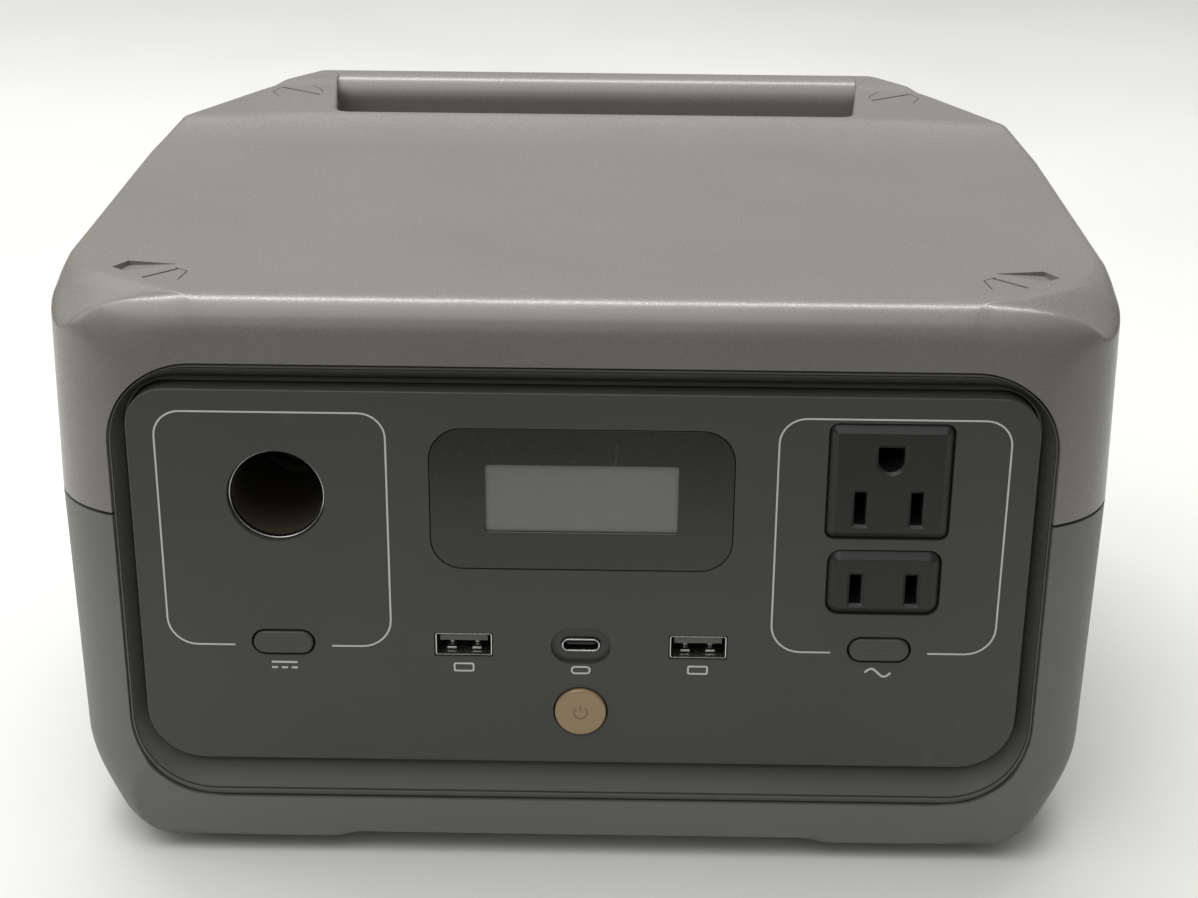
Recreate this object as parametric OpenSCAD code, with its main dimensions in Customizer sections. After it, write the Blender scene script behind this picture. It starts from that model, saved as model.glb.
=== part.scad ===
// Portable power station: a battery pack and an inverter in two moulded shells, with a carrying bar,
// a front panel of outlets and buttons, and charging inlets at the back.
// Frame: +Z up, the front panel faces -Y, and the origin is on the ground under the middle of the body.

/* [Body] */
// Overall width
body_w = 245; // [243:0.5:248]
// Overall depth, from the face of the outlets to the back
body_d = 214.5; // [213:0.5:217]
// Height of the grip bar's crest
body_h = 145; // [144.5:0.1:145.5]
// Height of the flat top
top_z = 140; // [139:0.5:140.5]
// Height of the raised strip behind the ramp
strip_z = 144; // [143:0.1:144.2]
// Height of the seam between the two shells
seam_z = 88.4; // [87.5:0.1:89]
// Wall thickness of the shells
wall = 2.8; // [2.4:0.1:3]

/* [Front panel] */
// Width of the front panel
panel_w = 203.2; // [202:0.2:204]
// Lowest edge of the front panel
panel_low = 26.7; // [26:0.1:28]
// Highest edge of the front panel
panel_high = 120.1; // [119:0.1:120.5]
// Width of the opening in the shells
opening_w = 213.4; // [212:0.2:214]
// Lowest edge of the opening
opening_low = 15.3; // [15:0.1:16]
// Highest edge of the opening
opening_high = 125.8; // [125:0.1:126]

/* [Ports] */
// Distance of the 12 V socket, the outlets and the pill buttons from the middle
side_x = 68.8; // [68:0.1:70]
// Bore radius of the 12 V socket
socket_r = 10.5; // [10.4:0.05:10.55]
// Height of the 12 V socket
socket_z = 94.5; // [93:0.5:96]
// Distance between the two blade slots of an outlet
blade_pitch = 12.7; // [12.6:0.1:12.8]
// Distance of the USB-A ports from the middle
usb_a_x = 27.1; // [26:0.1:28]
// Height of the USB ports
usb_z = 57.6; // [57:0.1:58]
// Radius of the power button
power_r = 6.02; // [5.8:0.01:6.2]
// Height of the power button
power_z = 40.5; // [39:0.5:41]
// How far a button goes in
press = 0.8; // [0.5:0.1:0.8]

/* [Battery] */
// Cells from left to right
cell_columns = 7; // [5:1:7]
// Cells from front to back
cell_rows = 3; // [2:1:3]
// Cell radius
cell_r = 13; // [12.5:0.1:13]
// Cell length
cell_len = 70; // [66:1:70]
// Distance between neighbouring cells
cell_pitch = 27; // [26.6:0.1:27]

/* [Fans] */
// Side of the square fan frame
fan_size = 50; // [46:1:50]
// Thickness of the fan frame
fan_depth = 15; // [14:0.5:15]
// Number of fan blades
fan_blades = 7; // [5:2:9]

/* [Handle] */
// Depth of the grip bar from front to back
bar_d = 17.2; // [16:0.1:18]
// Height of the grip bar
bar_h = 18; // [16:0.5:19]
// Length of the slot in front of the bar
slot_w = 156; // [150:1:158]

/* [Hidden] */
$fn = 48;
half_w = body_w / 2;
front_y = -body_d / 2;
rear_y = body_d / 2;
panel_y = front_y + 0.8;
shell_y = panel_y + 1;
panel_t = 2.5;
pad_z = 2.7;
floor_z = 8;
past = 2;
seam_gap = 0.8;
side_corner_r = 24;
base_corner_r = 24;
side_end = 37;
rear_corner_x = 100;
rear_corner_y = 82;
rear_half = 82;
shoulder_z = 132;
shoulder_draw = 1;
roof_draw = 6;
screw_r = 1.75;
screw_spots = [[-90, -64], [90, -64], [-88, 66], [88, 66]];
bar_front = rear_y - bar_d;
slot_front = 53;
button_back = -95;
board_front = -91;
board_t = 1.6;
flange_front = panel_y + panel_t + 0.3;
plunger_room = 0.2;
switch_floor = board_front - 0.4;
panel_screw_spots = [for (x = [-97.4, 97.4], z = [38, 108]) [x, z]];
bezel_back = -96;
socket_floor = -67;
socket_end = -62;
cell_low = 10.4;
pack_w = cell_columns * cell_pitch + 1;
pack_d = cell_rows * cell_pitch + 1;
tray_z = 90;
inverter_z = 97;
fan_y = -15;
fan_z = 56;
fan_out = half_w - wall - 1.3;
inlet_z = 50;
ac_inlet_x = -28;
dc_inlet_x = 34;
three_pin_z = 99.85;
three_pin_blade_z = 93.5;
two_pin_z = 74.95;
two_pin_blade_z = 73.4;
ground_rise = 11.9;
outlet_back = -84;
outlet_floor = -86;
button_z = 57.7;
display_z = 94.3;
light_shell = "#97948b";
dark_shell = "#5e605b";
dark_plastic = "#4a4a46";
black_plastic = "#2b2b29";
metal = "#c4c4c0";
brass = "#c2a04e";
board_green = "#1f5a3a";

// ---- Shapes that repeat ----

function unit(v) = v / norm(v);

// One corner of an outline, as [tangent point before, tangent point after, centre of the round]
function soft_corner(before, corner, after, r) =
    let (
        u = unit(before - corner),
        v = unit(after - corner),
        half_angle = acos(u * v) / 2,
        run = r / tan(half_angle)
    )
    [corner + u * run, corner + v * run, corner + unit(u + v) * r / sin(half_angle)];

// A polygon whose corners are true rounds of the given radii; a corner that turns inwards has radius 0
module soft_polygon(points, radii) {
    n = len(points);
    corners = [for (i = [0 : n - 1])
        soft_corner(points[(i + n - 1) % n], points[i], points[(i + 1) % n], radii[i])];
    polygon([for (c = corners) each [c[0], c[1]]]);
    for (i = [0 : n - 1])
        if (radii[i] > 0)
            translate(corners[i][2]) circle(r = radii[i]);
}

module soft_rect(w, h, r) {
    soft_polygon([[-w / 2, -h / 2], [w / 2, -h / 2], [w / 2, h / 2], [-w / 2, h / 2]], [r, r, r, r]);
}

// A pill: a straight bar with fully round ends
module pill(w, h) {
    square([w - h, h], center = true);
    for (side = [-1, 1])
        translate([side * (w - h) / 2, 0]) circle(r = h / 2);
}

// Extrudes an outline drawn in X and Z from depth y0 to y1
module slab_y(y0, y1) {
    translate([0, y1, 0]) rotate([90, 0, 0]) linear_extrude(y1 - y0) children();
}

// Extrudes an outline drawn in Y and Z from x0 to x1
module slab_x(x0, x1) {
    translate([x0, 0, 0]) rotate([90, 0, 90]) linear_extrude(x1 - x0) children();
}

module slab_z(z0, z1) {
    translate([0, 0, z0]) linear_extrude(z1 - z0) children();
}

module rod_y(r, y0, y1) {
    translate([0, y1, 0]) rotate([90, 0, 0]) cylinder(r = r, h = y1 - y0);
}

module rod_x(r, x0, x1) {
    translate([x0, 0, 0]) rotate([0, 90, 0]) cylinder(r = r, h = x1 - x0);
}

module block(low, high) {
    translate(low) cube(high - low);
}

module both_sides() {
    children();
    mirror([1, 0, 0]) children();
}

// ---- Wiring ----

function smoother(p, times) =
    times == 0 ? p :
    smoother([
        p[0],
        for (i = [0 : len(p) - 2]) each [p[i] * 0.75 + p[i + 1] * 0.25, p[i] * 0.25 + p[i + 1] * 0.75],
        p[len(p) - 1]
    ], times - 1);

// A round wire along a smoothed route. Its rings are turned about the reference direction.
module wire(route, r, reference) {
    sides = 8;
    p = smoother(route, 2);
    last = len(p) - 1;
    rings = [for (i = [0 : last])
        let (
            t = unit(p[min(i + 1, last)] - p[max(i - 1, 0)]),
            u = unit(cross(t, reference)),
            v = cross(t, u)
        )
        for (k = [0 : sides - 1]) p[i] + r * (cos(k * 360 / sides) * u + sin(k * 360 / sides) * v)];
    polyhedron(rings, concat(
        [[for (k = [0 : sides - 1]) k]],
        [for (i = [0 : last - 1], k = [0 : sides - 1])
            let (a = i * sides + k, b = i * sides + (k + 1) % sides)
            each [[a, a + sides, b], [b, a + sides, b + sides]]],
        [[for (k = [sides - 1 : -1 : 0]) last * sides + k]]
    ));
}

// ---- Outer form of the body, drawn in by an inset ----

module front_outline(inset) {
    soft_polygon([
        [-half_w + inset, pad_z + inset],
        [half_w - inset, pad_z + inset],
        [half_w - inset, seam_z],
        [half_w - shoulder_draw - inset, shoulder_z],
        [half_w - roof_draw - inset, body_h - inset],
        [-half_w + roof_draw + inset, body_h - inset],
        [-half_w + shoulder_draw + inset, shoulder_z],
        [-half_w + inset, seam_z]
    ], [base_corner_r - inset, base_corner_r - inset, 0, 10, 2, 2, 10, 0]);
}

module plan_outline(inset) {
    soft_polygon([
        [-half_w + inset, shell_y + inset],
        [half_w - inset, shell_y + inset],
        [half_w - inset, side_end],
        [rear_corner_x - inset, rear_corner_y],
        [rear_half - inset * 0.7, rear_y - inset],
        [-rear_half + inset * 0.7, rear_y - inset],
        [-rear_corner_x + inset, rear_corner_y],
        [-half_w + inset, side_end]
    ], [side_corner_r - inset, side_corner_r - inset, 40, 30, 9, 9, 30, 40]);
}

module side_outline(inset) {
    soft_polygon([
        [shell_y + inset, pad_z + inset],
        [rear_y - inset, pad_z + inset],
        [rear_y - inset, body_h - inset],
        [88, body_h - inset],
        [84, strip_z - inset],
        [51, strip_z - inset],
        [39.75, top_z - inset],
        [shell_y + inset, top_z - inset]
    ], [6 - inset, 10 - inset, 8 - inset, 0, 0, 0, 0, 8 - inset]);
}

module body_form(inset) {
    intersection() {
        slab_y(front_y - past, rear_y + past) front_outline(inset);
        slab_z(0, body_h + past) plan_outline(inset);
        slab_x(-half_w - past, half_w + past) side_outline(inset);
    }
}

module front_opening(gap) {
    translate([0, (opening_low + opening_high) / 2])
        soft_rect(opening_w - 2 * gap, opening_high - opening_low - 2 * gap, 20.5 - gap);
}

module panel_outline(gap) {
    x = panel_w / 2 + gap;
    soft_polygon([[-x, panel_low - gap], [x, panel_low - gap], [x, panel_high + gap], [-x, panel_high + gap]],
        [13, 13, 9, 9]);
}

// ---- Shells ----

// The finger space in front of, under and behind the grip bar; grow adds the wall around it
module grip_recess(grow) {
    intersection() {
        slab_x(-slot_w / 2 - grow, slot_w / 2 + grow)
            polygon([
                [slot_front - grow, body_h + past],
                [slot_front - grow, 112 - grow],
                [66 - grow, 102 - grow],
                [rear_y + past, 98 - grow],
                [rear_y + past, body_h + past]
            ]);
        slab_z(80, body_h + past)
            polygon([
                [-slot_w / 2 + 5 - grow, slot_front - grow],
                [slot_w / 2 - 5 + grow, slot_front - grow],
                [slot_w / 2 + grow, bar_front],
                [slot_w / 2 + grow, rear_y + past],
                [-slot_w / 2 - grow, rear_y + past],
                [-slot_w / 2 - grow, bar_front]
            ]);
    }
}

module grip_bar() {
    slab_x(-slot_w / 2 - past, slot_w / 2 + past)
        soft_polygon([
            [bar_front, body_h - bar_h],
            [rear_y, body_h - bar_h],
            [rear_y, body_h],
            [bar_front, body_h]
        ], [5, 5, 8, 7]);
}

module top_shell() {
    color(light_shell)
    difference() {
        union() {
            intersection() {
                difference() {
                    body_form(0);
                    difference() {
                        body_form(wall);
                        grip_recess(wall);
                    }
                    difference() {
                        grip_recess(0);
                        grip_bar();
                    }
                    slab_y(front_y - past, shell_y + 16) front_opening(0);
                }
                block([-half_w, front_y, seam_z + seam_gap / 2], [half_w, rear_y, body_h + past]);
            }
            for (spot = screw_spots)
                translate([spot.x, spot.y, seam_z - 4])
                    cylinder(r = 4.5, h = (spot.y > 0 ? strip_z : top_z) - seam_z + 2.5);
        }
        for (spot = screw_spots)
            translate([spot.x, spot.y, seam_z - 5]) cylinder(r = screw_r, h = 16);
    }
}

module vent_slots() {
    pitch = 5;
    for (i = [-4 : 4])
        block([half_w - wall - 1, fan_y + i * pitch - 1.1, fan_z - 21],
            [half_w + past, fan_y + i * pitch + 1.1, fan_z + 21]);
}

module lower_shell() {
    color(dark_shell)
    difference() {
        union() {
            intersection() {
                difference() {
                    body_form(0);
                    intersection() {
                        body_form(wall);
                        block([-half_w, front_y, floor_z], [half_w, rear_y, body_h]);
                    }
                    slab_y(front_y - past, shell_y + 16) front_opening(0);
                    slab_y(rear_y - wall - past, rear_y + past)
                        translate([0, inlet_z]) soft_rect(112, 42, 6);
                }
                block([-half_w, front_y, 0], [half_w, rear_y, seam_z - seam_gap / 2]);
            }
            for (spot = screw_spots)
                translate([spot.x, spot.y, floor_z - 1]) cylinder(r = 5.5, h = seam_z - 4.4 - floor_z);
        }
        slab_y(front_y, rear_y) polygon([[-59, 0], [59, 0], [59, pad_z], [53, 4.7], [-53, 4.7], [-59, pad_z]]);
        for (spot = screw_spots)
            translate([spot.x, spot.y, 0]) {
                cylinder(r = 8.2, h = pad_z + 1);
                cylinder(r = 3.8, h = 66);
                cylinder(r = 2, h = seam_z);
            }
        both_sides() vent_slots();
    }
}

module seam_gasket() {
    color("black")
    difference() {
        body_form(0.8);
        body_form(wall - 0.4);
        slab_y(front_y - past, shell_y + 16) front_opening(0);
        block([-half_w, front_y, -1], [half_w, rear_y, seam_z - seam_gap / 2]);
        block([-half_w, front_y, seam_z + seam_gap / 2], [half_w, rear_y, body_h]);
    }
}

module left_vent_grille() {
    color(black_plastic) mirror([1, 0, 0]) vent_grille();
}

module right_vent_grille() {
    color(black_plastic) vent_grille();
}

// A frame with a lattice of thin bars, flat against the inside of the side wall
module vent_grille() {
    half_y = 25;
    half_z = 22;
    x0 = half_w - wall - 1.2;
    x1 = half_w - wall;
    translate([0, fan_y, fan_z]) {
        difference() {
            block([x0, -half_y, -half_z], [x1, half_y, half_z]);
            block([x0 - 1, 2 - half_y, 2 - half_z], [x1 + 1, half_y - 2, half_z - 2]);
        }
        for (y = [-18 : 6 : 18])
            block([x0, y - 0.4, 1 - half_z], [x1, y + 0.4, half_z - 1]);
        for (z = [-15 : 6 : 15])
            block([x0, 1 - half_y, z - 0.4], [x1, half_y - 1, z + 0.4]);
    }
}

module rubber_feet() {
    color("#1c1c1b")
    for (spot = screw_spots)
        translate([spot.x, spot.y, 0]) {
            cylinder(r1 = 7.4, r2 = 8, h = 1);
            translate([0, 0, 1]) cylinder(r = 8, h = pad_z);
        }
}

module case_screws() {
    color(metal)
    for (spot = screw_spots)
        translate([spot.x, spot.y, 0])
            difference() {
                union() {
                    translate([0, 0, 63.4]) cylinder(r = 3.4, h = 2.6);
                    translate([0, 0, 65]) cylinder(r = screw_r, h = seam_z + 8 - 65);
                }
                translate([0, 0, 62.4]) cylinder(r = 1.3, h = 2.4, $fn = 6);
            }
}

// ---- Front bezel and panel ----

module front_bezel() {
    color(dark_plastic)
    difference() {
        union() {
            slab_y(shell_y + 0.4, bezel_back) front_opening(0.4);
            slab_y(bezel_back - 2.8, bezel_back)
                translate([0, (opening_low + opening_high) / 2])
                    soft_rect(opening_w + 4, opening_high - opening_low + 5, 22);
        }
        slab_y(shell_y - 1, shell_y + 4)
            translate([0, (opening_low + opening_high) / 2])
                soft_rect(opening_w - 4.4, opening_high - opening_low - 4.4, 18.3);
        slab_y(shell_y - 1, bezel_back - 2) panel_outline(0.2);
        slab_y(bezel_back - 3, bezel_back + 1) panel_outline(-6);
        for (spot = panel_screw_spots)
            translate([spot.x, 0, spot.y]) rod_y(1.25, bezel_back - 3, bezel_back + 1);
    }
}

module panel_holes() {
    back = bezel_back + 1;
    translate([-side_x, 0, socket_z]) rod_y(socket_r + 0.55, front_y, back);
    slab_y(front_y, panel_y + 1.5) translate([0, display_z]) soft_rect(68.5, 34.5, 7.5);
    slab_y(front_y, back) translate([0, display_z]) soft_rect(60, 27, 4);
    translate([0, 0, power_z]) rod_y(power_r + 0.3, front_y, back);
    for (side = [-1, 1]) {
        slab_y(front_y, back) translate([side * side_x, button_z]) pill(14.9, 6.8);
        slab_y(front_y, back) translate([side * usb_a_x, usb_z]) square([13.5, 6.1], center = true);
    }
    slab_y(front_y, panel_y + 1.2) translate([0, usb_z]) pill(13.8, 9.1);
    slab_y(front_y, back) translate([0, usb_z]) pill(9.2, 3.5);
    slab_y(front_y, back) translate([side_x, three_pin_z]) soft_rect(27.9, 28, 2);
    slab_y(front_y, back) translate([side_x, two_pin_z]) soft_rect(25.9, 16.2, 3);
}

module front_panel() {
    color(dark_plastic)
    difference() {
        slab_y(panel_y, bezel_back - 2) panel_outline(0);
        difference() {
            slab_y(panel_y + panel_t, bezel_back) panel_outline(-1.8);
            for (spot = panel_screw_spots)
                translate([spot.x, 0, spot.y]) rod_y(3.2, panel_y, bezel_back + 1);
        }
        panel_holes();
        for (spot = panel_screw_spots)
            translate([spot.x, 0, spot.y]) rod_y(1.25, panel_y + panel_t + 1, bezel_back);
    }
}

// Screws that hold the panel to the bezel from behind
module panel_screws() {
    color(metal)
    for (spot = panel_screw_spots)
        translate([spot.x, 0, spot.y]) {
            rod_y(1.25, panel_y + panel_t + 1.2, bezel_back);
            rod_y(2.4, bezel_back, bezel_back + 1.8);
        }
}

module display_window() {
    color("#33342e")
    slab_y(panel_y + 0.2, panel_y + 1.5) translate([0, display_z]) soft_rect(68.3, 34.3, 7.4);
}

module lcd_panel() {
    color("#686a63")
    slab_y(panel_y + 1.7, panel_y + 4.2) translate([0, display_z]) square([50, 23], center = true);
}

module backlight_tray() {
    color("white")
    difference() {
        slab_y(panel_y + 1.7, bezel_back) translate([0, display_z]) soft_rect(59, 26.4, 3);
        slab_y(panel_y + 1, panel_y + 4.2) translate([0, display_z]) square([50.2, 23.2], center = true);
        slab_y(bezel_back - 1.5, bezel_back + 1) translate([0, display_z]) square([54, 21], center = true);
    }
}

// ---- Buttons and their switches ----

module round_button() {
    difference() {
        union() {
            rod_y(power_r, front_y, flange_front + 0.2);
            rod_y(power_r + 1.4, flange_front, flange_front + 1);
            rod_y(2.4, flange_front + 0.7, button_back);
        }
        rod_y(power_r - 1.4, panel_y + 1.2, flange_front - 0.1);
    }
}

module pill_button() {
    slab_y(front_y + 0.3, flange_front + 0.2) pill(14.3, 6.2);
    slab_y(flange_front, flange_front + 1) pill(17, 8.8);
    rod_y(2.4, flange_front + 0.7, button_back);
}

module power_button() {
    color("#a38c70") translate([0, 0, power_z]) round_button();
}

module dc_button() {
    color(dark_plastic) translate([-side_x, 0, button_z]) pill_button();
}

module ac_button() {
    color(dark_plastic) translate([side_x, 0, button_z]) pill_button();
}

module plunger() {
    rod_y(1.6, button_back, switch_floor - press - plunger_room);
}

module power_plunger() {
    color(black_plastic) translate([0, 0, power_z]) plunger();
}

module dc_plunger() {
    color(black_plastic) translate([-side_x, 0, button_z]) plunger();
}

module ac_plunger() {
    color(black_plastic) translate([side_x, 0, button_z]) plunger();
}

module switch_body() {
    difference() {
        slab_y(button_back + 1, board_front) square([6.2, 6.2], center = true);
        rod_y(1.65, button_back, switch_floor);
    }
}

module button_switches() {
    color(metal) {
        translate([0, 0, power_z]) switch_body();
        for (side = [-1, 1])
            translate([side * side_x, 0, button_z]) switch_body();
    }
}

module io_board() {
    color(board_green)
    slab_y(board_front, board_front + board_t) {
        translate([0, 72]) square([94, 80], center = true);
        translate([0, 55]) square([160, 22], center = true);
    }
}

// ---- USB sockets ----

module usb_a_shell() {
    difference() {
        slab_y(panel_y + 0.5, board_front) square([13.1, 5.72], center = true);
        slab_y(panel_y - 1, board_front + 1) square([12.5, 5.12], center = true);
    }
}

module usb_a_tongue() {
    slab_y(panel_y + 1.6, board_front - 3) translate([0, 1.5]) square([11.1, 1.84], center = true);
    slab_y(board_front - 3.2, board_front) square([12.4, 5], center = true);
}

module usb_a_left_shell() {
    color(metal) translate([-usb_a_x, 0, usb_z]) usb_a_shell();
}

module usb_a_right_shell() {
    color(metal) translate([usb_a_x, 0, usb_z]) usb_a_shell();
}

module usb_a_left_tongue() {
    color(black_plastic) translate([-usb_a_x, 0, usb_z]) usb_a_tongue();
}

module usb_a_right_tongue() {
    color(black_plastic) translate([usb_a_x, 0, usb_z]) usb_a_tongue();
}

module usb_c_shell() {
    color(metal)
    translate([0, 0, usb_z])
    difference() {
        slab_y(panel_y + 0.6, board_front) pill(8.94, 3.26);
        slab_y(panel_y - 1, board_front + 1) pill(8.34, 2.66);
    }
}

module usb_c_tongue() {
    color(black_plastic)
    translate([0, 0, usb_z]) {
        slab_y(panel_y + 1.4, board_front - 5) square([6.7, 0.7], center = true);
        slab_y(board_front - 5.2, board_front) pill(8.2, 2.5);
    }
}

// ---- 12 V socket ----

module car_socket_barrel() {
    color(metal)
    translate([-side_x, 0, socket_z])
    difference() {
        union() {
            rod_y(socket_r + 0.5, panel_y + 0.6, socket_end);
            rod_y(socket_r + 1.5, -70, -68);
        }
        rod_y(socket_r, panel_y, socket_floor);
        rod_y(socket_r - 1.5, socket_floor - 1, socket_end + 1);
    }
}

module car_socket_housing() {
    color(black_plastic)
    translate([-side_x, 0, socket_z])
    difference() {
        rod_y(socket_r + 3, panel_y + panel_t, -59);
        rod_y(socket_r + 0.5, panel_y, socket_end);
        rod_y(socket_r + 1.5, -70, -68);
        rod_y(2.05, socket_end - 1, -58);
    }
}

module car_socket_contact() {
    color(brass)
    translate([-side_x, 0, socket_z]) {
        rod_y(5, -64, -62);
        rod_y(3, -66, -64);
        rod_y(2, -62.2, -56);
    }
}

// ---- Mains outlets ----

// Each blade slot is a narrow mouth with a wider pocket behind it for the contact leaves
module blade_slot(w, h) {
    slab_y(front_y - 1, outlet_floor) square([w, h], center = true);
    slab_y(front_y + 3, outlet_floor) square([5, h + 1.4], center = true);
    slab_y(outlet_floor - 1, outlet_back + 1) square([0.8, 4], center = true);
}

module three_pin_outlet() {
    color(dark_plastic)
    difference() {
        slab_y(front_y, outlet_back) translate([side_x, three_pin_z]) soft_rect(27.7, 27.8, 2);
        for (side = [-1, 1])
            translate([side_x + side * blade_pitch / 2, 0, three_pin_blade_z]) blade_slot(2.6, 7.8);
        translate([side_x, 0, three_pin_blade_z + ground_rise]) {
            rod_y(2.9, front_y - 1, outlet_floor);
            slab_y(front_y - 1, outlet_floor) translate([0, 1.5]) square([5.8, 3], center = true);
        }
    }
}

module two_pin_outlet() {
    color(dark_plastic)
    difference() {
        slab_y(front_y, outlet_back) translate([side_x, two_pin_z]) soft_rect(25.7, 16, 3);
        for (side = [-1, 1])
            translate([side_x + side * blade_pitch / 2, 0, two_pin_blade_z]) blade_slot(2.6, 7.1);
    }
}

module contact_leaves(w, h) {
    for (side = [-1, 1])
        slab_y(front_y + 5, outlet_floor) translate([side * (w / 2 + 0.3), 0]) square([0.6, h], center = true);
    slab_y(outlet_floor - 0.6, outlet_floor) square([w + 1.2, h], center = true);
    slab_y(outlet_floor - 0.6, outlet_back + 3) square([0.8, 4], center = true);
}

module outlet_contacts() {
    color(brass) {
        for (side = [-1, 1]) {
            translate([side_x + side * blade_pitch / 2, 0, three_pin_blade_z]) contact_leaves(2.6, 6);
            translate([side_x + side * blade_pitch / 2, 0, two_pin_blade_z]) contact_leaves(2.6, 6);
        }
    }
}

// ---- Charging inlets at the back ----

module rear_panel() {
    color(dark_plastic)
    difference() {
        union() {
            slab_y(rear_y - 4.5, rear_y - 2) translate([0, inlet_z]) soft_rect(111.6, 41.6, 6);
            slab_y(rear_y - 4.5, rear_y - wall) translate([0, inlet_z]) soft_rect(118, 48, 8);
        }
        slab_y(rear_y - 5, rear_y) translate([ac_inlet_x, inlet_z]) square([27.2, 20], center = true);
        slab_y(rear_y - 5, rear_y) translate([dc_inlet_x, inlet_z]) soft_rect(20.2, 12.2, 2);
    }
}

// The face of the inlet has two cut corners, as the plug does
module ac_inlet_mouth(grow) {
    x = 12 + grow;
    z = 7.9 + grow;
    cut = 4.5;
    polygon([[-x, -z], [x, -z], [x, z - cut], [x - cut, z], [cut - x, z], [-x, z - cut]]);
}

module ac_inlet() {
    color(black_plastic)
    difference() {
        union() {
            slab_y(rear_y - 22, rear_y - 2) translate([ac_inlet_x, inlet_z]) square([27, 19.8], center = true);
            slab_y(rear_y - 2, rear_y - 0.2) translate([ac_inlet_x, inlet_z]) soft_rect(31, 23.6, 2);
        }
        slab_y(rear_y - 17, rear_y) translate([ac_inlet_x, inlet_z]) ac_inlet_mouth(0);
        for (pin = [[-7, -2], [7, -2], [0, 2]])
            translate([ac_inlet_x + pin.x, 0, inlet_z + pin.y])
                slab_y(rear_y - 24, rear_y - 16) square([2, 4], center = true);
    }
}

module ac_inlet_pins() {
    color(metal)
    for (pin = [[-7, -2], [7, -2], [0, 2]])
        translate([ac_inlet_x + pin.x, 0, inlet_z + pin.y])
            slab_y(rear_y - 27, rear_y - 6) square([2, 4], center = true);
}

module dc_inlet() {
    color("#c8a12e")
    difference() {
        union() {
            slab_y(rear_y - 20, rear_y - 2) translate([dc_inlet_x, inlet_z]) soft_rect(20, 12, 2);
            slab_y(rear_y - 2, rear_y - 0.6) translate([dc_inlet_x, inlet_z]) soft_rect(24, 15, 2);
        }
        slab_y(rear_y - 14, rear_y)
            translate([dc_inlet_x, inlet_z])
                polygon([[-8, -4.2], [6, -4.2], [8, -2], [8, 2], [6, 4.2], [-8, 4.2]]);
        for (side = [-1, 1])
            translate([dc_inlet_x + side * 3.6, 0, inlet_z]) rod_y(1.75, rear_y - 22, rear_y - 13);
    }
}

module dc_inlet_pins() {
    color(brass)
    for (side = [-1, 1])
        translate([dc_inlet_x + side * 3.6, 0, inlet_z]) rod_y(1.75, rear_y - 24, rear_y - 4);
}

// ---- Fans, drawn about the X axis with the open side at x = 0 ----

fan_shaft_r = 1.5;
fan_hub_r = 10.5;
fan_bore_r = fan_size / 2 - 1.2;

module fan_frame() {
    difference() {
        slab_x(0, fan_depth) soft_rect(fan_size, fan_size, 3);
        rod_x(fan_bore_r, -1, fan_depth + 1);
        for (y = [-1, 1], z = [-1, 1])
            translate([0, y * (fan_size / 2 - 4), z * (fan_size / 2 - 4)]) rod_x(1.7, -1, fan_depth + 1);
    }
    for (angle = [45 : 90 : 315])
        rotate([angle, 0, 0]) block([fan_depth - 2, -1.2, 8], [fan_depth, 1.2, fan_bore_r + 0.5]);
    difference() {
        union() {
            rod_x(fan_hub_r, fan_depth - 2, fan_depth);
            rod_x(3.2, 4, fan_depth - 1);
        }
        rod_x(fan_shaft_r + 0.05, 3, fan_depth - 1);
    }
}

module fan_rotor() {
    difference() {
        rod_x(fan_hub_r, 1, fan_depth - 3);
        rod_x(fan_hub_r - 1.4, 2.4, fan_depth);
    }
    rod_x(fan_shaft_r, 2, fan_depth - 2);
    for (i = [0 : fan_blades - 1])
        rotate([i * 360 / fan_blades, 0, 0])
            translate([6.5, 0, 0])
                rotate([0, 0, 35])
                    block([-5.2, -0.6, fan_hub_r - 0.6], [5.2, 0.6, fan_bore_r - 1.2]);
}

module fan_place() {
    translate([fan_out, fan_y, fan_z]) mirror([1, 0, 0]) children();
}

module intake_fan_frame() {
    color(black_plastic) mirror([1, 0, 0]) fan_place() fan_frame();
}

module intake_fan_rotor() {
    color("#3a3a3a") mirror([1, 0, 0]) fan_place() fan_rotor();
}

module exhaust_fan_frame() {
    color(black_plastic) fan_place() fan_frame();
}

module exhaust_fan_rotor() {
    color("#3a3a3a") fan_place() fan_rotor();
}

// ---- Battery pack ----

module each_cell() {
    for (i = [0 : cell_columns - 1], j = [0 : cell_rows - 1])
        translate([(i - (cell_columns - 1) / 2) * cell_pitch, (j - (cell_rows - 1) / 2) * cell_pitch, 0])
            children();
}

module battery_cells() {
    color("#3c6fa8")
    each_cell() translate([0, 0, cell_low]) cylinder(r = cell_r, h = cell_len);
}

module cell_holder(z0, z1) {
    difference() {
        slab_z(z0, z1) soft_rect(pack_w, pack_d, 4);
        each_cell() translate([0, 0, z0 - 1]) cylinder(r = cell_r, h = z1 - z0 + 2);
    }
}

module lower_cell_holder() {
    color(black_plastic) cell_holder(cell_low + 1, cell_low + 8);
}

module upper_cell_holder() {
    color(black_plastic) cell_holder(cell_low + cell_len - 8, cell_low + cell_len - 1);
}

// Strips that join two columns of cells each, starting from the given column
module busbars(first, z0, z1) {
    for (i = [first : 2 : cell_columns - 1]) {
        left = (max(i, 0) - cell_columns / 2) * cell_pitch + 4;
        right = (min(i + 2, cell_columns) - cell_columns / 2) * cell_pitch - 4;
        block([left, 5 - pack_d / 2, z0], [right, pack_d / 2 - 5, z1]);
    }
}

module bottom_busbars() {
    color(metal) busbars(0, cell_low - 0.4, cell_low);
}

module top_busbars() {
    color(metal) busbars(-1, cell_low + cell_len, cell_low + cell_len + 0.4);
}

module bms_board() {
    color(board_green)
    block([-60, -24, cell_low + cell_len + 3], [60, 24, cell_low + cell_len + 3 + board_t]);
}

// ---- Inverter ----

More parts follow.
